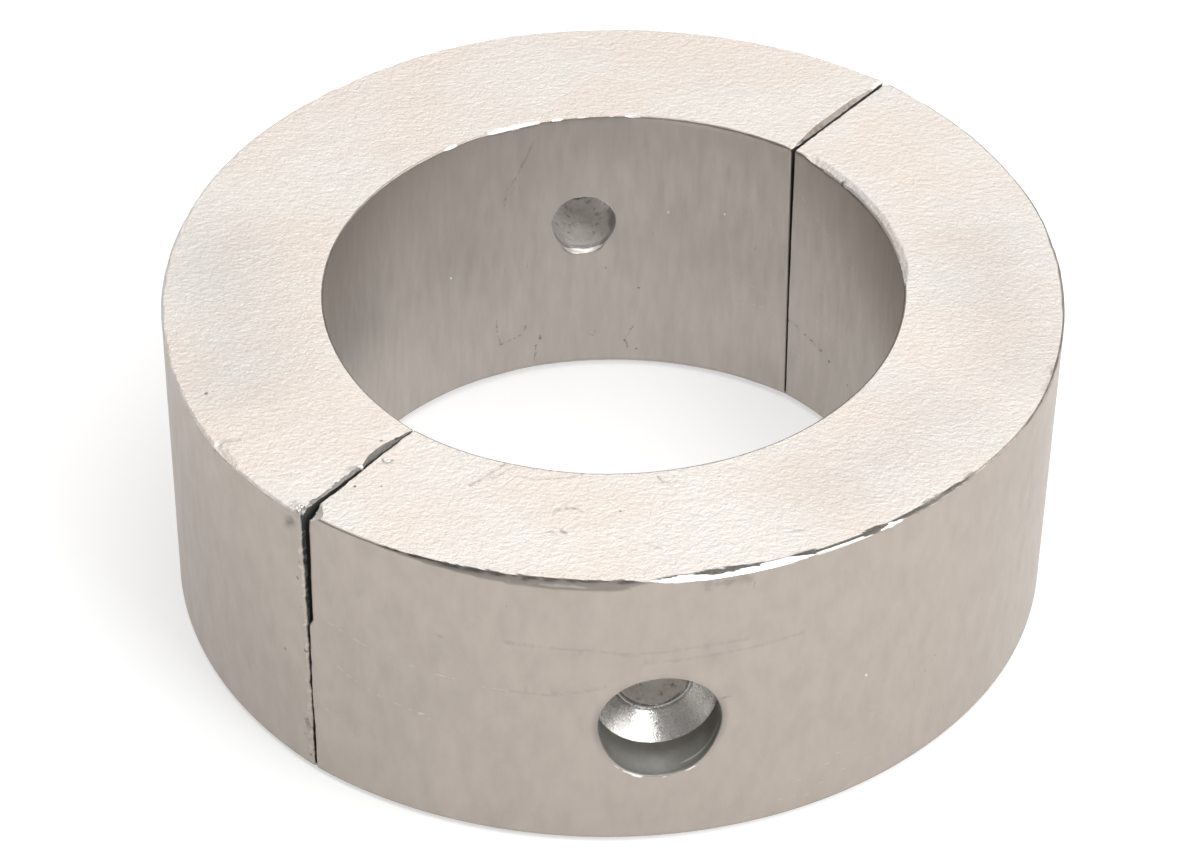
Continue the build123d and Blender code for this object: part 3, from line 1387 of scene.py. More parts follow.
    def press_marks(self) -> None:
        """Adds each mark's height, its darkening, its painted highlight and its shade."""
        for mark in self.size.marks:
            away = self.distance(mark, signed=mark.stroke is Stroke.FOLD)
            near = np.abs(away) < mark.width * 4.0
            wobble = np.zeros(len(away))
            size = max(0.7, mark.width * 2.0)
            wander = swell(self.start[near], size, self.size.seed + Pattern.MARK)
            wobble[near] = mark.ragged * mark.width * wander
            span = np.abs(away) + wobble
            body = np.where(near, np.exp(-np.clip(span / mark.width, 0.0, 4.0) ** 2), 0.0)
            if mark.stroke is Stroke.FOLD:
                body = body * np.where(away > 0, 1.0, -0.6)
            sign = -1.0 if mark.stroke is Stroke.GROOVE else 1.0
            self.push(sign * mark.height * body)
            self.cover(Coat.STAIN_AND_PAINTED_SHADE, mark.stain_and_painted_shade * np.abs(body))
            self.cover(Coat.PAINTED_HIGHLIGHT_AND_POLISH, mark.painted_highlight_and_polish * np.abs(body))
            self.cover(Coat.SHADE, mark.shade * np.abs(body))

    def roughen(self) -> None:
        """Adds the unevenness of the poured faces, the moulded walls and the raw holes."""
        spots = self.start
        face = self.on_face * (1.0 - smooth_rise(self.below_top, 0.1, SKIN))
        base = self.on_base * (1.0 - smooth_rise(spots[:, 2], 0.1, SKIN))
        wall = self.on_wall * smooth_rise(self.below_top, 0.2, 1.4)
        bore = self.on_bore * smooth_rise(self.below_top, 0.1, 0.8)
        bumps = 0.55 - pebbles(spots, PEBBLE_SIZE, self.size.seed + Pattern.PEBBLES)
        poured = self.waves(POURED_WAVES) + PEBBLE_HEIGHT * bumps
        height = face * poured - base * np.abs(poured)
        height += wall * self.waves(WALL_WAVES)
        height += bore * self.waves(BORE_WAVES)
        height += self.in_throat * self.waves(RAW_HOLE_WAVES)
        seam = np.exp(-np.clip(self.in_end, 0.0, 9.0) / 0.5) * (self.on_face | self.on_wall) * ~self.in_hole
        height += seam * self.waves(SEAM_WAVES)
        self.push(height)
        ragged = seam * self.waves(SEAM_WANDER)
        self.points[:, :2] += self.casting.outward() * ragged[:, None]

    def wear_and_shade_mouths(self) -> None:
        """Wears both mouths of each hole and what shows inside it, and paints shade and highlights there."""
        for number, hole in enumerate(self.size.holes):
            self.sag_seat_lip(hole)
            self.burr_seat_lip(hole, number)
            self.mark_pocket(hole)
            self.mark_ledge(hole)
            self.mark_cone(hole)
            noise = self.noise(1.4, Pattern.THROAT, extra=number)
            self.sag_throat_lip(hole)
            self.bevel_throat_lip(hole, noise)
            self.mark_throat(noise)

    def sag_seat_lip(self, hole: ScrewHole) -> None:
        """Lowers the bottom of a seat's mouth.

        Args:
            hole: The hole.
        """
        worn, past = self.size.mouths, self.hole_reach - hole.seat_radius
        fade = np.exp(-(np.maximum(past, 0.0) / worn.seat_fade) ** 2)
        fade = np.where(self.on_wall & (past > -0.1), fade, 0.0)
        pocket = self.in_hole & (past > -0.2)
        fade = np.where(pocket, 1.0 - smooth_rise(self.in_wall, 0.0, worn.seat_sag_depth), fade)
        self.points[:, 2] -= worn.seat_sag * smooth_rise(self.low, 0.2, 0.85) * fade

    def burr_seat_lip(self, hole: ScrewHole, number: int) -> None:
        """Raises a burr under a seat's mouth with a painted highlight on it, and paints a faint shade round
        the rest of the mouth.

        Args:
            hole: The hole.
            number: Its place in the casting's list, which picks the noise.
        """
        worn, past = self.size.mouths, self.hole_reach - hole.seat_radius
        noise = self.noise(1.7, Pattern.SEAT, extra=number)
        fine = self.noise(0.7, Pattern.SEAT_GRAIN, extra=number)
        outside = self.on_wall & (past > 0.05) & (past < 3.9)
        lit = smooth_rise(self.low, 0.60, 0.86)
        burr = lit * np.exp(-((past - worn.burr_gap - 0.20 * noise) / worn.burr_width) ** 2)
        least, more = worn.burr_height
        self.push(np.where(outside, burr * (least + more * np.maximum(noise + fine, -0.4)), 0.0))
        # Painted highlight on the burr.
        self.cover(Coat.PAINTED_HIGHLIGHT_AND_POLISH, burr * smooth_rise(noise + 0.9 * fine, -0.12, 0.22), outside)
        # Painted shade round the rest of the mouth, strongest at its sides.
        edge = (1.0 - smooth_rise(past, 0.05, 1.2)) * (0.10 + 0.28 * smooth_rise(np.abs(self.side), 0.8, 1.0))
        self.cover(Coat.SHADE, edge * (1.0 - lit), outside)

    def mark_pocket(self, hole: ScrewHole) -> None:
        """Paints a bright line round the wall of a seat's pocket, as a painted highlight, and painted shade on
        its sides.

        Args:
            hole: The hole.
        """
        worn = self.size.mouths
        pocket = self.in_hole & (self.hole_reach > hole.seat_radius - 0.2) & (self.in_wall > 0.4)
        bright_line = np.exp(-((self.in_wall - worn.bright_line_depth) / worn.bright_line_width) ** 2)
        bright_line = bright_line * smooth_rise(self.side, 0.15, 0.5) * smooth_rise(self.low, 0.05, 0.30)
        self.cover(Coat.PAINTED_HIGHLIGHT_AND_POLISH, worn.bright_line_highlight * bright_line, pocket)
        side_shade = worn.side_shade * smooth_rise(np.abs(self.side), 0.72, 1.0) * (1.0 - bright_line)
        self.cover(Coat.SHADE, side_shade, pocket)

    def mark_ledge(self, hole: ScrewHole) -> None:
        """Paints shade on the flat ledge at the foot of a seat's cone, darkest next to the hole.

        Args:
            hole: The hole.
        """
        worn, reach = self.size.mouths, self.hole_reach
        beside = self.in_hole & (reach > hole.hole_radius - 0.07) & (reach < hole.floor_radius + 0.02)
        ledge = beside & (np.abs(self.hole_depth - self.casting.seat_depths(hole)[1]) < 0.55)
        dark = 1.0 - smooth_rise(reach, 4.80, 5.15)
        self.reset(Coat.SHADE, blend(worn.ledge_shade, 1.0, dark), ledge)
        self.reset(Coat.STAIN_AND_PAINTED_SHADE, worn.ledge_painted_shadow * dark, ledge)

    def mark_cone(self, hole: ScrewHole) -> None:
        """Leaves faint turned marks on a seat's cone.

        Args:
            hole: The hole.
        """
        reach = self.hole_reach
        beside = self.in_hole & (reach > hole.floor_radius + 0.2) & (reach < hole.seat_radius - 0.05)
        cone = beside & (self.hole_depth > self.casting.seat_depths(hole)[1])
        spots = np.stack([5.0 * self.hole_angle, 0.6 * reach, np.zeros(len(reach))], axis=-1)
        turned = swell(spots, 0.9, self.size.seed + Pattern.CONE)
        self.cover(Coat.SHADE, self.size.mouths.cone_shade * smooth_rise(turned, 0.0, 0.8), cone)

    def sag_throat_lip(self, hole: ScrewHole) -> None:
        """Lowers the bottom of a hole's mouth at the bore.

        Args:
            hole: The hole.
        """
        worn, past = self.size.mouths, self.hole_reach - hole.hole_radius
        fade = np.exp(-(np.maximum(past - 0.01, 0.0) / worn.throat_fade) ** 2)
        fade = np.where(self.on_bore & (past > -0.05), fade, 0.0)
        inner_fade = np.exp(-np.clip(self.in_bore, 0.0, 9.0) / worn.throat_sag_depth)
        fade = np.where(self.in_throat, inner_fade, fade)
        sag = worn.throat_sag * smooth_rise(self.low, 0.45, 0.95) * fade
        self.points[:, 2] -= np.where(self.hole_depth < self.casting.seat_depths(hole)[1], sag, 0.0)

    def bevel_throat_lip(self, hole: ScrewHole, noise: Array) -> None:
        """Breaks back the bottom of a hole's mouth at the bore, to a bevel with a painted highlight.

        Args:
            hole: The hole.
            noise: Unevenness of the bevel's width at each point.
        """
        worn, past = self.size.mouths, self.hole_reach - hole.hole_radius - 0.01
        width = worn.bevel_width * smooth_rise(self.low, 0.70, 0.95) * (1.0 + 0.35 * noise)
        inner_side = self.hole_depth < self.casting.seat_depths(hole)[1]
        lip = self.on_bore & (past > 0.0) & (past < 1.54) & inner_side
        drop = worn.bevel_slope * np.clip(width - past, 0.0, 2.0)
        throat = self.in_throat & (self.in_bore < 6.0)
        fallen = worn.bevel_slope * width * np.exp(-np.clip(self.in_bore, 0.0, 6.0) / worn.bevel_depth)
        along = np.where(lip, drop, 0.0) + np.where(throat, fallen, 0.0)
        self.points += along[:, None] * hole.axis()
        self.cover(Coat.PAINTED_HIGHLIGHT_AND_POLISH, smooth_rise(drop, 0.06, 0.22), lip)

    def mark_throat(self, noise: Array) -> None:
        """Paints shade on the sides and the mouth of a throat, and leaves streaks with a painted highlight and
        dark pits further in.

        Args:
            noise: Unevenness of the dark sides at each point.
        """
        worn = self.size.mouths
        throat = self.in_throat & (self.in_bore < 6.0)
        # Painted shade on both sides of the throat, with blotches.
        dark = smooth_rise(-self.side, 0.74, 0.97) + 0.8 * smooth_rise(self.side, 0.80, 0.99)
        blotches = smooth_rise(self.noise(3.2, Pattern.THROAT_SHADE), 0.25, 0.6)
        dark = dark * (0.85 + 0.25 * noise) + 0.55 * blotches
        self.cover(Coat.SHADE, np.clip(0.75 * dark, 0.0, 0.8), throat)
        # Painted highlight on streaks further in.
        streaks = self.noise(1.9, Pattern.STREAK) + 0.7 * self.noise(0.7, Pattern.STREAK_FINE)
        streaks = smooth_rise(streaks, 0.0, 0.30)
        deep = self.in_throat * smooth_rise(self.in_bore, 2.0, 5.0)
        self.cover(Coat.PAINTED_HIGHLIGHT_AND_POLISH, worn.streak_painted_highlight * streaks * deep)
        pits = self.noise(1.1, Pattern.PIT) + 0.5 * self.noise(0.6, Pattern.PIT_FINE)
        pits = smooth_rise(pits, 0.18, 0.42)
        self.cover(Coat.STAIN_AND_PAINTED_SHADE, worn.pit_stain * pits * self.in_throat * (1.0 - 0.6 * streaks))
        # Painted shade near the mouth, on its lower side.
        wide = 0.34 * (1.0 - smooth_rise(self.in_bore, 1.0, 6.0)) * smooth_rise(self.low, 0.0, 0.5)
        close = 0.4 * (1.0 - smooth_rise(self.in_bore, 0.5, 1.3)) * smooth_rise(self.low, 0.2, 0.5)
        self.cover(Coat.SHADE, wide + close, throat)

    def swell_wall(self) -> None:
        """Moves the wall out where the casting is not a true circle."""
        flare = self.size.flare
        turn = (self.azimuth - flare.azimuth + 180.0) % 360.0 - 180.0
        share = np.exp(-(turn / flare.spread) ** 2) * smooth_rise(-self.in_wall, -16.0, 0.0)
        rise = 1.0 - self.below_top / self.casting.ring.height
        out = flare.reach * share * blend(flare.foot_share, 1.0, np.clip(rise, 0.0, 1.0))
        flat = self.start[:, :2] - self.casting.centre()
        self.points[:, :2] += np.where(self.in_hole, 0.0, out)[:, None] * flat / self.radius[:, None]

    def wear(self) -> None:
        """Applies every layer, the large ones first."""
        self.cut_edges()
        self.wear_and_shade_mouths()
        self.roughen()
        self.press_marks()
        self.swell_wall()


# ---- finishes

@dataclass(frozen=True)
class ZincFinish:
    """Look of one kind of zinc surface.

    Sizes of grain are millimetres. Colours are linear. fleck is how strongly small scattered dots are painted
    towards the highlight colour, as painted glints.
    """

    name: str
    colour: Triple
    dark: Triple
    roughness: float
    grain_size: float
    grain_height: float
    mottle_size: float
    streak: Triple = (1.0, 1.0, 1.0)
    mottle: float = 0.25
    cool: Triple | None = None
    fleck: float = 0.0
    metal: float = 1.0
    cool_size: float = 16.0
    fleck_size: float = 1.25
    coarse_size: float = 0.85
    bright_roughness: float = 0.25
    bright_metal: float = 0.5

    def material(self) -> bpy.types.Material:
        """Builds the node material.

        Returns:
            The material.
        """
        nodes = NodeSheet(self.name)
        place = nodes.add("ShaderNodeTexCoord", "Object", {})
        mottle = nodes.noise(nodes.stretch(place, self.streak), self.mottle_size, 4.0, 0.6)
        fine = nodes.noise(place, self.grain_size, 3.0, 0.65)
        grain = nodes.coat(Coat.GRAIN)
        colour = self.colour
        if self.cool is not None:
            tint = nodes.ramp(nodes.noise(place, self.cool_size, 2.0, 0.5), ((0.40, 0.0), (0.60, 1.0)))
            colour = nodes.mix_colour(tint, self.colour, self.cool)
        share = nodes.math("MULTIPLY", nodes.ramp(mottle, ((0.30, 0.0), (0.70, 1.0))), self.mottle)
        colour = nodes.mix_colour(share, colour, self.dark)
        normal = nodes.bump(fine, self.grain_height, grain)
        # Small scattered dots painted towards the highlight colour, as painted glints.
        if self.fleck > 0.0:
            dots = nodes.ramp(nodes.cells(place, self.fleck_size), ((0.22, 1.0), (0.10, 0.0)))
            dots = nodes.math("SUBTRACT", 1.0, dots)
            some = nodes.ramp(nodes.noise(place, 2.3, 2.0, 0.5), ((0.48, 0.0), (0.60, 1.0)))
            dots = nodes.math("MULTIPLY", dots, some)
            colour = nodes.mix_colour(nodes.math("MULTIPLY", dots, self.fleck), colour, PAINTED_HIGHLIGHT_COLOUR)
            coarse = nodes.noise(nodes.stretch(place, (0.85, 1.2, 1.0)), self.coarse_size, 2.0, 0.5)
            normal = nodes.bump(coarse, self.grain_height * 1.1, grain, normal)
        # Darkening for real stains and for painted shade, then painted shade, then the painted highlight,
        # which also lowers the roughness and the metalness.
        stain_and_painted_shade = nodes.coat(Coat.STAIN_AND_PAINTED_SHADE)
        rough_stain_and_painted_shade = nodes.math("ADD", stain_and_painted_shade, nodes.math("MULTIPLY", nodes.math("SUBTRACT", fine, 0.5), 0.6))
        stain_and_painted_shade_share = nodes.ramp(rough_stain_and_painted_shade, ((0.26, 0.0), (0.62, 0.92)))
        shade = nodes.math("MULTIPLY", nodes.coat(Coat.SHADE), 0.9)
        colour = nodes.mix_colour(shade, colour, SHADE_COLOUR)
        colour = nodes.mix_colour(stain_and_painted_shade_share, colour, STAIN_AND_PAINTED_SHADE_COLOUR)
        painted_highlight_and_polish = nodes.ramp(nodes.coat(Coat.PAINTED_HIGHLIGHT_AND_POLISH), ((0.25, 0.0), (0.55, 1.0)))
        colour = nodes.mix_colour(nodes.math("MULTIPLY", painted_highlight_and_polish, 0.9), colour, PAINTED_HIGHLIGHT_COLOUR)
        rough = nodes.math("ADD", nodes.math("MULTIPLY", mottle, 0.16), self.roughness - 0.08)
        rough = nodes.mix_number(nodes.math("MULTIPLY", painted_highlight_and_polish, 0.8), rough, self.bright_roughness)
        shader = nodes.shader
        nodes.feed(nodes.mix_number(painted_highlight_and_polish, self.metal, self.bright_metal), shader.inputs["Metallic"])
        nodes.feed(colour, shader.inputs["Base Color"])
        nodes.feed(rough, shader.inputs["Roughness"])
        nodes.feed(normal, shader.inputs["Normal"])
        return nodes.material


class NodeSheet:
    """Node tree of a material, with short ways to add the nodes that the finishes use."""

    def __init__(self, name: str) -> None:
        """Starts a material with one shader.

        Args:
            name: Name of the material.
        """
        self.material = bpy.data.materials.new(name)
        self.material.use_nodes = True
        self.tree = self.material.node_tree
        self.shader = self.tree.nodes["Principled BSDF"]

    def add(self, kind: str, output: str | int, inputs: dict[str | int, object], **settings: object) -> Socket:
        """Adds a node and feeds it.

        Args:
            kind: Kind of node.
            output: Which output is wanted.
            inputs: A socket or a plain value for each input that is fed.
            settings: Values of the node's own settings.

        Returns:
            The output.
        """
        node = self.tree.nodes.new(kind)
        for name, value in settings.items():
            setattr(node, name, value)
        for place, value in inputs.items():
            self.feed(value, node.inputs[place])
        return node.outputs[output]

    def feed(self, value: object, target: Socket) -> None:
        """Links a socket, or sets a plain value.

        Args:
            value: Output of another node, a colour, three numbers or one.
            target: Input that takes it.
        """
        if isinstance(value, Socket):
            self.tree.links.new(value, target)
        elif target.type == "RGBA":
            target.default_value = (*value, 1.0)
        else:
            target.default_value = value

    def noise(self, place: Socket, size: float, detail: float, rough: float) -> Socket:
        """Noise of a size in millimetres, from 0 to 1."""
        inputs = {"Vector": place, "Scale": 1.0 / (size * MM), "Detail": detail, "Roughness": rough}
        return self.add("ShaderNodeTexNoise", "Fac", inputs)

    def cells(self, place: Socket, size: float) -> Socket:
        """Distance to scattered points that lie about a size apart, in millimetres."""
        return self.add("ShaderNodeTexVoronoi", "Distance", {"Vector": place, "Scale": 1.0 / (size * MM)})

    def stretch(self, place: Socket, scale: Triple) -> Socket:
        """Coordinates scaled by different amounts along x, y and z."""
        return self.add("ShaderNodeMapping", 0, {"Vector": place, "Scale": scale})

    def coat(self, coat: Coat) -> Socket:
        """Value of a coat that the mesh carries."""
        return self.add("ShaderNodeAttribute", "Fac", {}, attribute_name=coat.value)

    def math(self, operation: str, first: object, second: object) -> Socket:
        """Result of a sum on two values."""
        return self.add("ShaderNodeMath", 0, {0: first, 1: second}, operation=operation)

    def ramp(self, value: Socket, ends: tuple[tuple[float, float], tuple[float, float]]) -> Socket:
        """Straight rise between two places.

        Args:
            value: What is mapped.
            ends: Input and output at each place.

        Returns:
            The mapped value.
        """
        (from_low, to_low), (from_high, to_high) = ends
        inputs = {"Value": value, "From Min": from_low, "To Min": to_low,
                  "From Max": from_high, "To Max": to_high}
        return self.add("ShaderNodeMapRange", "Result", inputs)

    def mix_colour(self, share: object, first: object, second: object) -> Socket:
        """Mix of two colours."""
        return self.add("ShaderNodeMix", 2, {"Factor": share, 6: first, 7: second}, data_type="RGBA")

    def mix_number(self, share: object, first: object, second: object) -> Socket:
        """Mix of two numbers."""
        return self.add("ShaderNodeMix", 0, {"Factor": share, 2: first, 3: second})

    def bump(self, height: Socket, reach: float, strength: object, normal: Socket | None = None) -> Socket:
        """Bump of the surface's direction.

        Args:
            height: Height of the surface, from 0 to 1.
            reach: How high 1 is, in millimetres.
            strength: Share of the bump that shows.
            normal: Another bump that this one lies on.

        Returns:
            The bumped direction.
        """
        below = {} if normal is None else {"Normal": normal}
        inputs = {"Height": height, "Distance": reach * MM, "Strength": strength, **below}
        return self.add("ShaderNodeBump", "Normal", inputs)


# The dark colour of stains and painted shade, the dark colour of painted shade, and the pale colour of painted
# highlights and glints.
STAIN_AND_PAINTED_SHADE_COLOUR = (0.10, 0.095, 0.085)
SHADE_COLOUR = (0.09, 0.086, 0.078)
PAINTED_HIGHLIGHT_COLOUR = (0.95, 0.93, 0.90)
FINISHES: dict[Finish, ZincFinish] = {
    Finish.FACE: ZincFinish(
        "zinc_grainy_face", colour=(0.850, 0.787, 0.742), dark=(0.660, 0.611, 0.575), roughness=0.74,
        grain_size=0.42, grain_height=0.16, mottle_size=2.4, mottle=0.16,
        cool=(0.840, 0.812, 0.780), fleck=0.25),
    Finish.WALL: ZincFinish(
        "zinc_satin_wall", colour=(0.462, 0.410, 0.368), dark=(0.35, 0.312, 0.280), roughness=0.46,
        grain_size=0.30, grain_height=0.007, mottle_size=3.2, streak=(1.3, 1.3, 0.6), mottle=0.30),
    # The split faces show only in the gap between the castings; their dark colour is painted shade for the
    # gap.
    Finish.SPLIT: ZincFinish(
        "zinc_split_face", colour=(0.13, 0.135, 0.13), dark=(0.07, 0.07, 0.065), roughness=0.75,
        grain_size=0.6, grain_height=0.05, mottle_size=4.0),
    Finish.CONE: ZincFinish(
        "zinc_turned_cone", colour=(0.86, 0.835, 0.81), dark=(0.68, 0.66, 0.64), roughness=0.27,
        grain_size=0.32, grain_height=0.05, mottle_size=1.0, mottle=0.4),
    # The pocket is darker than the turned cone, as painted shade inside the seat.
    Finish.POCKET: ZincFinish(
        "zinc_bored_pocket", colour=(0.35, 0.345, 0.322), dark=(0.24, 0.24, 0.225), roughness=0.52,
        grain_size=0.35, grain_height=0.03, mottle_size=2.0, mottle=0.45, metal=0.85),
    # The raw hole is paler than the metal, as painted light for the dim inside of the hole.
    Finish.HOLE: ZincFinish(
        "zinc_raw_hole", colour=(1.0, 0.955, 0.91), dark=(0.70, 0.66, 0.62), roughness=0.40,
        grain_size=0.55, grain_height=0.26, mottle_size=0.9, mottle=0.6, metal=0.35),
    Finish.BORE: ZincFinish(
        "zinc_satin_bore", colour=(0.475, 0.433, 0.396), dark=(0.355, 0.323, 0.293), roughness=0.44,
        grain_size=0.30, grain_height=0.007, mottle_size=2.6, streak=(2.0, 2.0, 0.4), mottle=0.35),
}


# ---- studio

WARM_WHITE = (1.0, 0.985, 0.965)


@dataclass
class Studio:
    """Floor, lamps, world and camera."""

    floor_half: float = 3.0
    floor_glow: float = 0.52
    world_strength: float = 0.205
    camera_place: Triple = (-0.06113033, -0.53060885, 0.45577653)
    camera_right: Triple = (0.99471290, -0.10203503, 0.01162344)
    camera_up: Triple = (0.05554042, 0.62971558, 0.77483776)
    lens: float = 148.754
    sensor_width: float = 36.0
    clip_start: float = 0.01
    aim: Triple = (0.0, 0.0, 0.02)

    def make_camera(self) -> None:
        """Places the camera."""
        data = bpy.data.cameras.new("camera")
        data.lens = self.lens
        data.sensor_width = self.sensor_width
        data.clip_start = self.clip_start
        item = bpy.data.objects.new("camera", data)
        right, up = Vector(self.camera_right), Vector(self.camera_up)
        back = right.cross(up)
        turn = Matrix((right, up, back)).transposed().to_4x4()
        item.matrix_world = Matrix.Translation(Vector(self.camera_place)) @ turn
        bpy.context.scene.collection.objects.link(item)
        bpy.context.scene.camera = item

    def make_floor(self) -> None:
        """Lays the pale floor, which shows white to the camera and in reflections."""
        half = self.floor_half
        mesh = bpy.data.meshes.new("floor")
        corners = [(-half, -half, 0), (half, -half, 0), (half, half, 0), (-half, half, 0)]
        mesh.from_pydata(corners, [], [(0, 1, 2, 3)])
        item = bpy.data.objects.new("floor", mesh)
        bpy.context.scene.collection.objects.link(item)
        sheet = NodeSheet("floor_white")
        sheet.shader.inputs["Base Color"].default_value = (0.55, 0.55, 0.55, 1.0)
        sheet.shader.inputs["Roughness"].default_value = 0.9
        sheet.shader.inputs["Specular IOR Level"].default_value = 0.0
        sheet.shader.inputs["Emission Color"].default_value = (1.0, 1.0, 1.0, 1.0)
        rays = sheet.add("ShaderNodeLightPath", 0, {}).node.outputs
        seen = sheet.math("MAXIMUM", rays["Is Camera Ray"], rays["Is Glossy Ray"])
        seen = sheet.math("MAXIMUM", seen, rays["Is Transmission Ray"])
        sheet.feed(sheet.math("MULTIPLY", seen, self.floor_glow), sheet.shader.inputs["Emission Strength"])
        mesh.materials.append(sheet.material)

    def make_world(self) -> None:
        """Fills the room with even pale light."""
        world = bpy.data.worlds.new("room")
        world.use_nodes = True
        shade = world.node_tree.nodes["Background"]
        shade.inputs["Color"].default_value = (*WARM_WHITE, 1.0)
        shade.inputs["Strength"].default_value = self.world_strength
        bpy.context.scene.world = world

    def make_lamp(self, name: str, place: Triple, size: float, watts: float,
                  colour: Triple = WARM_WHITE) -> None:
        """Hangs a soft square lamp that faces the object.

        Args:
            name: Its name.
            place: Its centre in metres.
            size: Its width in metres.
            watts: Its power.
            colour: Its colour.
        """
        data = bpy.data.lights.new(name, "AREA")
        data.shape = "SQUARE"
        data.size = size
        data.energy = watts
        data.color = colour
        item = bpy.data.objects.new(name, data)
        item.visible_camera = False
        item.location = place
        item.rotation_euler = (Vector(self.aim) - Vector(place)).to_track_quat("-Z", "Y").to_euler()
        bpy.context.scene.collection.objects.link(item)

    def make(self) -> None:
        """Sets up the whole studio."""
        self.make_camera()
        self.make_floor()
        self.make_world()
        self.make_lamp("overhead", (0.05, 0.14, 1.1), 1.4, 12.2)
        self.make_lamp("right", (1.1, -0.35, 0.55), 0.9, 8.6)
        self.make_lamp("front", (-0.25, -1.1, 0.5), 0.35, 1.1)
        self.make_lamp("near", (0.0, -0.12, 0.36), 0.10, 0.15, (0.92, 0.98, 1.0))
        self.make_lamp("key", (0.38, -0.60, 0.73), 0.30, 2.65, (0.955, 0.985, 1.0))
        bpy.context.scene.view_settings.view_transform = "Standard"


# ---- the object

def faint(surface: Surface, *path: tuple[float, float], light: bool = False) -> Mark:
    """Faint flow line: a low ridge whose lighter colour is a painted highlight, or a shallow groove painted
    darker.

    Args:
        surface: The surface.
        path: Its corners.
        light: True for a lighter line.

    Returns:
        The line.
    """
    if light:
        return Mark(surface, path, 0.16, 0.015, Stroke.RIDGE, painted_highlight_and_polish=0.33, ragged=0.5)
    return Mark(surface, path, 0.17, 0.010, shade=0.15, ragged=1.6)


def fleck(surface: Surface, place: tuple[float, float], size: float = 0.3, stain_and_painted_shade: float = 0.45) -> Mark:
    """Small dark pit."""
    return Mark(surface, (place,), size, 0.10 * size, stain_and_painted_shade=stain_and_painted_shade + 0.2, ragged=0.8)


def painted_shade_patch(surface: Surface, shade: float, width: float, *path: tuple[float, float]) -> Mark:
    """Broad area of painted shade on the metal."""
    return Mark(surface, path, width, 0.0, shade=shade, ragged=0.15)


def glint(surface: Surface, place: tuple[float, float]) -> Mark:
    """Small raised nick with a painted highlight."""
    return Mark(surface, (place,), 0.19, 0.04, Stroke.RIDGE, painted_highlight_and_polish=0.9)


def tick(surface: Surface, azimuth: float, level: float, length: float = 1.0) -> Mark:
    """Short upright dark scratch."""
    path = ((azimuth, level - 0.5 * length), (azimuth, level + 0.5 * length))
    return Mark(surface, path, 0.13, 0.05, stain_and_painted_shade=0.4, ragged=0.2)


# Short names for the tables that follow.
FACE, WALL, BORE = Surface
RIM, LIP, SEAM = Edge
_, RIDGE, FOLD = Stroke

FRONT_CUTS: tuple[EdgeCut, ...] = (
    # Flats along the rim: the shade and darkening on the dark ones are painted shade for the dark reflection
    # of the rounded and worn rim, and the light ones carry painted highlights.
    EdgeCut(RIM, -134.5, -91.0, 0.42, 1.55, (34.0, 5.0), ragged=0.07, shade=0.42),
    EdgeCut(RIM, -134.5, -91.5, 0.55, 0.66, (26.0, 4.0), ragged=0.5, ragged_size=0.8, shade=0.9,
        stain_and_painted_shade=0.28),
    EdgeCut(RIM, -73.0, -56.5, 0.24, 0.36, (3.0, 3.0), ragged=0.3, painted_highlight_and_polish=0.8),
    EdgeCut(RIM, -94.0, -68.8, 0.72, 0.58, (7.0, 6.5), ragged=0.10, ragged_size=2.4, painted_highlight_and_polish=1.0),
    EdgeCut(RIM, -94.0, -68.0, 1.00, 0.13, (6.0, 4.0), ragged=0.15, shade=0.9, stain_and_painted_shade=0.45),
    EdgeCut(RIM, -89.5, -71.0, 1.45, 0.32, (5.0, 10.0), ragged=0.25, ragged_size=0.8, shade=0.85,
        stain_and_painted_shade=0.45),
    EdgeCut(RIM, -76.0, -46.0, 0.60, 0.14, (4.0, 4.0), ragged=0.15, shade=0.9, stain_and_painted_shade=0.45),
    EdgeCut(RIM, -66.0, -59.6, 0.98, 0.34, (2.6, 2.6), ragged=0.2, ragged_size=0.8, shade=0.9,
        stain_and_painted_shade=0.40),
    EdgeCut(RIM, -61.2, -59.2, 0.50, 0.60, (0.9, 0.9), ragged=0.1, painted_highlight_and_polish=0.95),
    EdgeCut(RIM, -60.0, -46.0, 0.34, 0.28, (4.0, 3.0), ragged=0.5, ragged_size=1.6, shade=0.85,
        stain_and_painted_shade=0.3),
    EdgeCut(RIM, -50.0, 45.0, 0.20, 0.20, (4.0, 3.0), ragged=0.7, ragged_size=1.6, shade=0.45),
    EdgeCut(RIM, -56.5, -50.0, 0.90, 0.50, (2.5, 2.5), ragged=0.3, shade=0.6),
    EdgeCut(RIM, -48.0, -45.0, 0.80, 0.45, (1.2, 1.2), ragged=0.3, shade=0.6),
    EdgeCut(RIM, -16.0, 12.0, 0.55, 0.50, (8.0, 8.0), ragged=0.3, ragged_size=2.2, shade=0.2),
    # The lip's flats take the paler face finish, as painted light.
    EdgeCut(LIP, -9.0, 44.0, 1.00, 0.55, (12.0, 3.5), ragged=0.10, ragged_size=4.0, shade=0.14,
        finish=Finish.FACE),
    EdgeCut(LIP, -6.0, 44.0, 0.42, 0.85, (12.0, 3.5), ragged=0.20, ragged_size=3.5, shade=0.10,
        finish=Finish.FACE),
    # This flat takes the dark split finish, as painted shade that widens the gap's shadow.
    EdgeCut(SEAM, -60.6, -48.5, 0.56, 0.32, (2.0, 7.5), ragged=0.20, ragged_size=1.6, shade=0.8,
        finish=Finish.SPLIT),
    # The corner flat takes the paler face finish, as painted light.
    EdgeCut(SEAM, -62.8, -58.6, 2.55, 1.90, (0.1, 3.3), ragged=0.03, ragged_size=2.0, shade=0.05,
        finish=Finish.FACE),
)
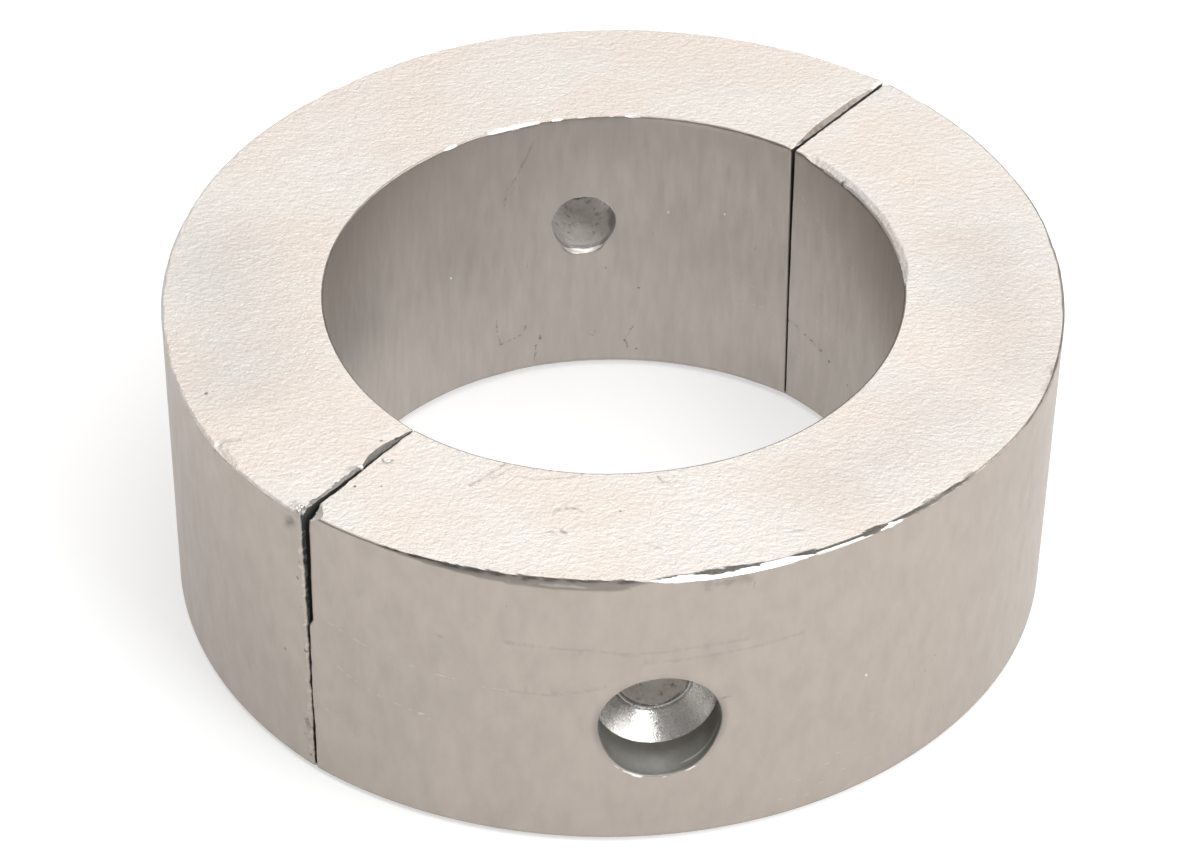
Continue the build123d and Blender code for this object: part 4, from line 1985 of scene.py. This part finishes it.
FRONT_MARKS: tuple[Mark, ...] = (
    Mark(FACE, ((-22.9, -40.3), (-19.5, -37.6), (-17.8, -36.2)), 0.16, 0.04, shade=0.34, ragged=1.2),
    Mark(FACE, ((-20.0, -39.2), (-16.8, -36.9)), 0.14, 0.03, shade=0.24, ragged=1.2),
    Mark(FACE, ((-16.3, -39.0), (-14.7, -39.8), (-10.2, -39.9), (-7.2, -39.0)), 0.15, 0.03, shade=0.20,
        ragged=1.2),
    # Folds and a curl on the face: the shade along them is painted shade, and the curl's ridge carries a
    # painted highlight.
    Mark(FACE, ((1.4, -40.8), (1.9, -41.9), (3.1, -42.4), (4.1, -42.0)), 0.22, 0.10, FOLD, shade=0.35),
    Mark(FACE, ((-33.8, -34.1), (-33.7, -34.7), (-33.3, -35.0), (-32.8, -34.9), (-32.5, -34.4)), 0.17,
        0.10, FOLD,
         shade=0.6, ragged=0.2),
    Mark(FACE, ((-33.5, -34.2), (-33.3, -34.6), (-32.9, -34.5)), 0.20, 0.12, RIDGE, painted_highlight_and_polish=0.9,
        ragged=0.3),
    fleck(FACE, (-37.7, -39.2), 0.26), fleck(FACE, (-36.8, -39.1), 0.2),
    fleck(FACE, (-34.3, -39.5), 0.2, 0.3),
    fleck(FACE, (5.0, -48.6), 0.24, 0.2),
    fleck(FACE, (1.5, -50.8), 0.25, 0.35), fleck(FACE, (-3.5, -52.0), 0.2, 0.3),
    fleck(FACE, (-4.2, -47.2), 0.22, 0.3), fleck(FACE, (34.4, 21.4), 0.4, 0.3),
    Mark(FACE, ((-12.5, -46.4), (-11.4, -46.1), (-10.5, -46.0), (-9.6, -46.4), (-8.7, -47.0)), 0.18, 0.02,
        shade=0.34, ragged=1.8),
    Mark(FACE, ((-13.8, -50.5), (-13.0, -50.5)), 0.18, 0.02, shade=0.4, ragged=1.0),
    Mark(FACE, ((-12.1, -50.4), (-11.6, -50.9)), 0.2, 0.02, shade=0.45, ragged=1.0),
    Mark(FACE, ((-1.7, -53.7), (0.4, -55.1)), 0.13, 0.02, shade=0.24, ragged=1.4),
    Mark(FACE, ((17.0, -53.2), (19.0, -53.0)), 0.16, 0.02, shade=0.2, ragged=1.4),
    Mark(FACE, ((55.0, -27.6), (55.6, -25.4), (56.0, -23.0)), 0.9, 0.03, stain_and_painted_shade=0.36, ragged=0.9),
    Mark(FACE, ((52.9, -30.0), (54.2, -28.3)), 0.5, 0.03, stain_and_painted_shade=0.34, ragged=0.9),
    Mark(WALL, ((-84.8, 44.35), (-82.0, 44.3), (-79.8, 44.4)), 0.55, 0.03, shade=0.28, stain_and_painted_shade=0.22,
        ragged=1.2),
    faint(WALL, (-133.0, 28.6), (-127.1, 27.3), (-122.6, 26.8), (-117.4, 26.2), (-113.0, 26.0),
        (-108.5, 25.9), light=True),
    faint(WALL, (-108.5, 25.9), (-103.7, 25.9), (-100.1, 26.6), (-96.8, 27.8)),
    faint(WALL, (-108.9, 34.3), (-104.1, 34.2), (-98.9, 34.0), (-93.9, 33.3), (-89.8, 33.5),
        (-85.4, 33.9), (-79.6, 33.8)),
    faint(WALL, (-133.2, 22.7), (-130.2, 20.8), (-126.4, 19.4), (-121.8, 18.8), (-118.3, 17.9),
        light=True),
    faint(WALL, (-133.5, 12.8), (-130.5, 10.9), (-127.2, 8.5), light=True),
    faint(WALL, (-92.0, 31.7), (-86.0, 32.0), (-79.0, 32.2), (-72.0, 32.6)),
    tick(WALL, -108.8, 40.7), tick(WALL, -129.5, 29.3), tick(WALL, -78.9, 43.0, 1.3),
    tick(WALL, -54.2, 14.6), tick(WALL, -63.3, 42.4, 0.7),
    Mark(WALL, ((-117.6, 33.2), (-116.6, 32.9)), 0.35, 0.06, stain_and_painted_shade=0.36, ragged=0.6),
    Mark(WALL, ((-107.6, 35.3), (-106.6, 35.2)), 0.15, 0.04, stain_and_painted_shade=0.3),
    Mark(WALL, ((-120.2, 18.7), (-119.2, 18.6)), 0.14, 0.03, RIDGE, painted_highlight_and_polish=0.36),
    Mark(WALL, ((-82.6, 24.0), (-81.3, 24.3)), 0.24, 0.10, stain_and_painted_shade=0.42),
    Mark(WALL, ((-61.7, 13.5), (-60.5, 13.5)), 0.16, 0.04, stain_and_painted_shade=0.4),
    glint(WALL, (-62.5, 20.7)),
    # Painted highlight along the rim's worn band.
    Mark(WALL, ((-104.6, 44.75), (-101.0, 44.75), (-99.2, 44.7)), 0.55, 0.0, RIDGE, painted_highlight_and_polish=0.32,
        ragged=0.5),
    Mark(WALL, ((-109.0, 44.75), (-98.0, 44.7)), 0.40, 0.0, RIDGE, painted_highlight_and_polish=0.28, ragged=0.7),
    # Painted shade where the light falls more weakly.
    painted_shade_patch(FACE, 0.10, 9.0, (52.0, -20.0), (52.0, 4.0)),
    painted_shade_patch(FACE, 0.09, 9.0, (24.0, -44.0), (40.0, -32.0)),
    painted_shade_patch(WALL, 0.05, 14.0, (-22.0, 30.0), (-14.0, 18.0)),
    painted_shade_patch(WALL, 0.05, 12.0, (-128.0, 24.0), (-118.0, 22.0)),
    *(fleck(FACE, place, 0.20, 0.14) for place in (
        (55.6, -23.2), (55.2, -24.4), (54.6, -25.9), (54.1, -27.3), (55.0, -27.0), (56.6, -19.6),
        (53.4, -27.9))),
    Mark(FACE, ((55.8, -22.8), (54.9, -25.6), (53.9, -27.6)), 0.70, 0.02, shade=0.22, ragged=1.4),
    # Short light lines on the wall: low ridges with painted highlights.
    *(Mark(WALL, (start, stop), 0.12, 0.02, RIDGE, painted_highlight_and_polish=0.34, ragged=0.2) for start, stop in (
        ((-76.0, 4.9), (-73.9, 4.9)), ((-72.3, 3.2), (-69.5, 2.7)), ((-73.5, 6.2), (-71.3, 6.0)),
        ((-68.5, 5.6), (-63.9, 4.9)),
        ((-66.6, 10.9), (-64.2, 10.8)), ((-62.2, 5.5), (-60.2, 4.8)), ((-70.1, 7.5), (-66.9, 7.2)),
        ((-79.5, 1.8), (-77.3, 1.5)),
        ((-71.0, 4.4), (-67.2, 4.0)), ((-75.0, 3.6), (-73.4, 3.4)), ((-67.5, 8.7), (-64.9, 8.4)))),
    *(fleck(WALL, place, 0.2, 0.34) for place in ((-50.6, 17.1), (-51.4, 11.9), (-47.9, 6.0),
        (-52.3, 15.4), (-72.8, 20.9))),
    *(fleck(BORE, place, 0.24, 0.5) for place in (
        (45.6, 15.0), (43.3, 14.8), (42.2, 14.5), (41.1, 14.1), (39.4, 13.7), (36.4, 13.1), (33.9, 12.2),
        (27.7, 10.9))),
    faint(BORE, (45.0, 15.0), (39.4, 13.7), (36.4, 13.1)),
    faint(BORE, (43.0, 38.6), (42.3, 37.6), (36.2, 34.8), (26.0, 31.9), light=True),
    faint(BORE, (40.2, 18.3), (33.9, 17.7), (23.6, 18.1), light=True),
    faint(BORE, (39.3, 24.0), (33.0, 23.7), (27.2, 23.8), light=True),
    faint(BORE, (44.4, 10.1), (35.8, 8.3), light=True),
    tick(BORE, 26.7, 32.3, 0.7), tick(BORE, 23.7, 28.2, 0.6),
)
FRONT = CastingSize(
    name="front_casting",
    middle=-45.0,
    end_reach=-0.6,
    edges=EndEdges(toe=0.28, wall=0.6, bore=0.2, crown=0.9),
    rim_radius=0.3,
    lip_radius=0.3,
    ends=(
        EndStep(27.2, 0.02, 0.42, inner_lean=0.03, outer_lean=0.12, wander=0.09, foot_opening=0.22),
        EndStep(20.8, 0.02, 0.05, inner_lean=0.3, outer_lean=0.3, wander=0.04),
    ),
    holes=(ScrewHole(-90.0, 20.7),),
    flare=Flare(-32.0, 13.0, 0.6, 0.3),
    cuts=FRONT_CUTS,
    marks=FRONT_MARKS,
    seed=11,
)
REAR_CUTS: tuple[EdgeCut, ...] = (
    # Flats along the rim, lip and seams: their shade is painted shade and their light values painted
    # highlights, for the dark and light reflections of the flats. The corner flats take the paler face finish
    # as painted light, and the lens at the far seam the darker wall finish as painted shade.
    EdgeCut(RIM, 45.0, 225.0, 0.26, 0.22, ragged=0.6, ragged_size=1.6, shade=0.12),
    EdgeCut(RIM, 104.0, 134.0, 0.32, 0.40, (6.0, 6.0), ragged=0.6, ragged_size=1.6, shade=0.5),
    EdgeCut(RIM, 150.0, 224.0, 0.30, 0.24, (12.0, 3.0), ragged=1.0, ragged_size=1.1, painted_highlight_and_polish=0.30),
    EdgeCut(RIM, 207.4, 215.0, 1.60, 0.34, (0.6, 6.0), ragged=0.4, ragged_size=0.9, shade=0.10),
    EdgeCut(RIM, 221.6, 226.0, 0.55, 1.05, (3.0, 0.3), ragged=0.8, ragged_size=0.6, shade=0.30,
        stain_and_painted_shade=0.28, finish=Finish.FACE),
    EdgeCut(LIP, 45.0, 225.0, 0.16, 0.18, ragged=0.5, shade=0.2),
    EdgeCut(LIP, 76.0, 124.0, 0.24, 0.28, (6.0, 6.0), ragged=1.0, ragged_size=2.4, painted_highlight_and_polish=0.7),
    EdgeCut(SEAM, 39.4, 51.4, 1.02, 1.00, (7.2, 3.4), ragged=0.08, shade=0.84),
    EdgeCut(SEAM, 50.6, 62.0, 0.42, 0.42, (1.0, 2.0), ragged=0.7, ragged_size=0.8, shade=0.72),
    EdgeCut(SEAM, 58.9, 63.4, 0.62, 0.75, (3.0, 0.4), ragged=0.9, ragged_size=0.6, shade=0.45, stain_and_painted_shade=0.32,
        finish=Finish.FACE),
    EdgeCut(SEAM, -63.0, -39.4, 0.95, 0.60, (9.0, 9.0), ragged=0.12, ragged_size=3.0, shade=0.12,
        finish=Finish.WALL),
)
REAR_MARKS: tuple[Mark, ...] = (
    # Laps on the face: the shade along them is painted shade of their step.
    Mark(FACE, ((-54.6, -29.2), (-53.0, -28.5), (-51.2, -28.3)), 0.16, 0.09, FOLD, shade=0.40, stain_and_painted_shade=0.20,
        ragged=1.3),
    Mark(FACE, ((-51.2, -28.3), (-49.6, -27.5), (-47.2, -27.0), (-45.0, -26.4)), 0.15, 0.06, FOLD,
        shade=0.22, ragged=1.5),
    Mark(FACE, ((-49.6, -31.6), (-47.3, -36.1), (-44.5, -36.7), (-39.4, -31.9)), 0.50, 0.040, RIDGE),
    Mark(FACE, ((-37.8, -35.9), (-37.4, -35.6)), 0.42, 0.16, RIDGE, shade=0.26, ragged=0.5),
    # Painted highlight on the bead's tip.
    Mark(FACE, ((-36.8, -35.3), (-36.6, -35.2)), 0.24, 0.20, RIDGE, painted_highlight_and_polish=1.0, ragged=0.4),
    # Specks of the corner burr: small ridges with painted highlights, and dark pits.
    *(Mark(FACE, (place,), 0.13, 0.11, RIDGE, painted_highlight_and_polish=0.75, ragged=0.9) for place in (
        (-44.5, -42.9), (-44.9, -42.4), (-44.2, -42.4), (-45.3, -41.9), (-44.0, -42.8), (-44.6, -42.0),
        (-45.6, -41.5), (-43.7, -42.3))),
    *(fleck(FACE, place, 0.17, 0.30) for place in (
        (-44.7, -42.6), (-44.3, -42.1), (-45.1, -42.1), (-44.2, -42.7), (-45.0, -41.6), (-43.9, -42.3),
        (-45.5, -41.9))),
    Mark(FACE, ((-45.4, -41.9), (-44.2, -42.5)), 0.60, 0.02, RIDGE, shade=0.26, ragged=0.9),
    Mark(FACE, ((-31.9, -30.0), (-30.9, -29.4)), 0.3, 0.10, stain_and_painted_shade=0.6, ragged=0.6),
    # Painted shade where the light falls more weakly.
    painted_shade_patch(FACE, 0.11, 9.0, (-53.0, 12.0), (-52.0, -14.0)),
    painted_shade_patch(WALL, 0.13, 15.0, (-168.0, 26.0), (-148.0, 16.0)),
    painted_shade_patch(BORE, 0.34, 9.0, (166.0, 26.0), (150.0, 24.0)),
    painted_shade_patch(BORE, 0.13, 8.0, (122.0, 24.0), (114.0, 24.0)),
    painted_shade_patch(BORE, 0.14, 8.0, (66.0, 24.0), (52.0, 24.0)),
    Mark(WALL, ((-136.7, 9.0), (-136.5, 7.0), (-136.6, 5.5)), 0.50, 0.05, stain_and_painted_shade=0.42, ragged=1.8),
    fleck(FACE, (-33.7, -30.2), 0.3, 0.4), fleck(FACE, (-55.5, -18.2), 0.3, 0.4),
    fleck(FACE, (-52.5, -19.5), 0.3, 0.3),
    Mark(WALL, ((-137.0, 43.4), (-137.6, 42.9)), 0.70, 0.06, shade=0.55, stain_and_painted_shade=0.34, ragged=0.9),
    # Light ridges down the seam's outer edge, with painted highlights.
    Mark(WALL, ((-135.5, 43.0), (-135.8, 36.0), (-135.6, 31.0), (-135.8, 26.0)), 0.36, 0.14, RIDGE,
        painted_highlight_and_polish=0.31, ragged=1.6),
    Mark(WALL, ((-135.8, 24.0), (-136.0, 17.0), (-135.9, 10.0), (-136.3, 3.0)), 0.40, 0.10, RIDGE,
        painted_highlight_and_polish=0.28, ragged=1.8),
    *(fleck(WALL, place, 0.3, 0.42) for place in (
        (-136.4, 8.9), (-136.7, 8.0), (-136.3, 7.1), (-136.5, 3.4), (-136.2, 2.4), (-136.1, 37.2),
        (-136.0, 21.6), (-139.7, 19.3),
        (-136.6, 34.0), (-136.3, 29.1))),
    Mark(BORE, ((100.7, 42.6), (102.4, 39.8), (104.2, 37.3)), 0.14, 0.04, shade=0.3, ragged=1.2),
    Mark(BORE, ((104.2, 37.3), (106.6, 34.7), (107.0, 31.7)), 0.16, 0.05, stain_and_painted_shade=0.34, ragged=1.4),
    Mark(BORE, ((104.6, 36.8), (105.0, 34.6), (106.9, 33.2)), 0.14, 0.04, stain_and_painted_shade=0.32, ragged=1.2),
    Mark(BORE, ((108.7, 11.5), (108.4, 8.6), (107.7, 6.6)), 0.2, 0.06, stain_and_painted_shade=0.40, ragged=1.2),
    Mark(BORE, ((107.7, 6.6), (105.0, 7.1), (102.5, 7.8), (101.7, 10.1)), 0.2, 0.06, stain_and_painted_shade=0.40,
        ragged=1.2),
    Mark(BORE, ((99.0, 7.0), (98.9, 6.0)), 0.26, 0.06, stain_and_painted_shade=0.5, ragged=0.6),
    Mark(BORE, ((99.8, 5.1), (100.2, 2.3)), 0.2, 0.06, stain_and_painted_shade=0.42, ragged=1.2),
    Mark(BORE, ((88.7, 6.4), (87.9, 5.6), (87.0, 6.3), (87.9, 6.9)), 0.2, 0.05, stain_and_painted_shade=0.34, ragged=1.0),
    Mark(BORE, ((79.1, 7.8), (80.7, 5.3), (80.5, 3.4)), 0.22, 0.06, stain_and_painted_shade=0.40, ragged=1.2),
    fleck(BORE, (78.6, 3.1), 0.25), fleck(BORE, (80.9, 4.6), 0.32, 0.55),
    fleck(BORE, (78.4, 14.6), 0.3, 0.5), fleck(BORE, (85.2, 18.2), 0.2), fleck(BORE, (75.6, 24.9), 0.25),
    tick(BORE, 106.9, 20.4), tick(BORE, 101.8, 20.3), tick(BORE, 53.8, 25.7, 0.9),
    glint(BORE, (72.5, 29.0)), glint(BORE, (60.6, 30.4)), glint(BORE, (119.8, 22.3)),
    faint(BORE, (57.3, 31.9), (53.5, 31.1), (50.1, 30.8), light=True),
    faint(BORE, (60.0, 20.5), (55.0, 18.8), (49.5, 18.2), light=True),
    faint(BORE, (58.0, 14.5), (53.0, 15.6), (48.8, 15.2), light=True),
)
REAR = CastingSize(
    name="rear_casting",
    middle=135.0,
    end_reach=0.8,
    edges=EndEdges(toe=0.3, wall=0.3, bore=0.2, crown=1.5),
    rim_radius=0.3,
    lip_radius=0.25,
    ends=(EndStep(), EndStep()),
    holes=(ScrewHole(90.0, 26.8),),
    flare=Flare(213.0, 19.0, 0.9),
    # The rim takes the paler face finish, as painted light on its rounded edge.
    rim_finish=Finish.FACE,
    cuts=REAR_CUTS,
    marks=REAR_MARKS,
    seed=29,
)


@dataclass
class Anode:
    """The whole ring."""

    node_of: dict[str, str] = field(
        default_factory=lambda: {"front_casting": "front_half", "rear_casting": "rear_half"})

    def make(self) -> None:
        """Builds and dresses both castings."""
        materials = [FINISHES[finish].material() for finish in Finish]
        for size in (FRONT, REAR):
            casting = Casting(size).make()
            for material in materials:
                casting.data.materials.append(material)
            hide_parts(self.node_of[size.name])
            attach(casting, "root")
            LOG.info("%s stands for %s", size.name, self.node_of[size.name])


def write_sizes() -> None:
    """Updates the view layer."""
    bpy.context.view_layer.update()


def main() -> None:
    """Builds the ring and its studio."""
    logging.basicConfig(level=logging.INFO, format="%(name)s: %(message)s")
    Anode().make()
    Studio().make()
    write_sizes()


if __name__ == "__main__":
    main()
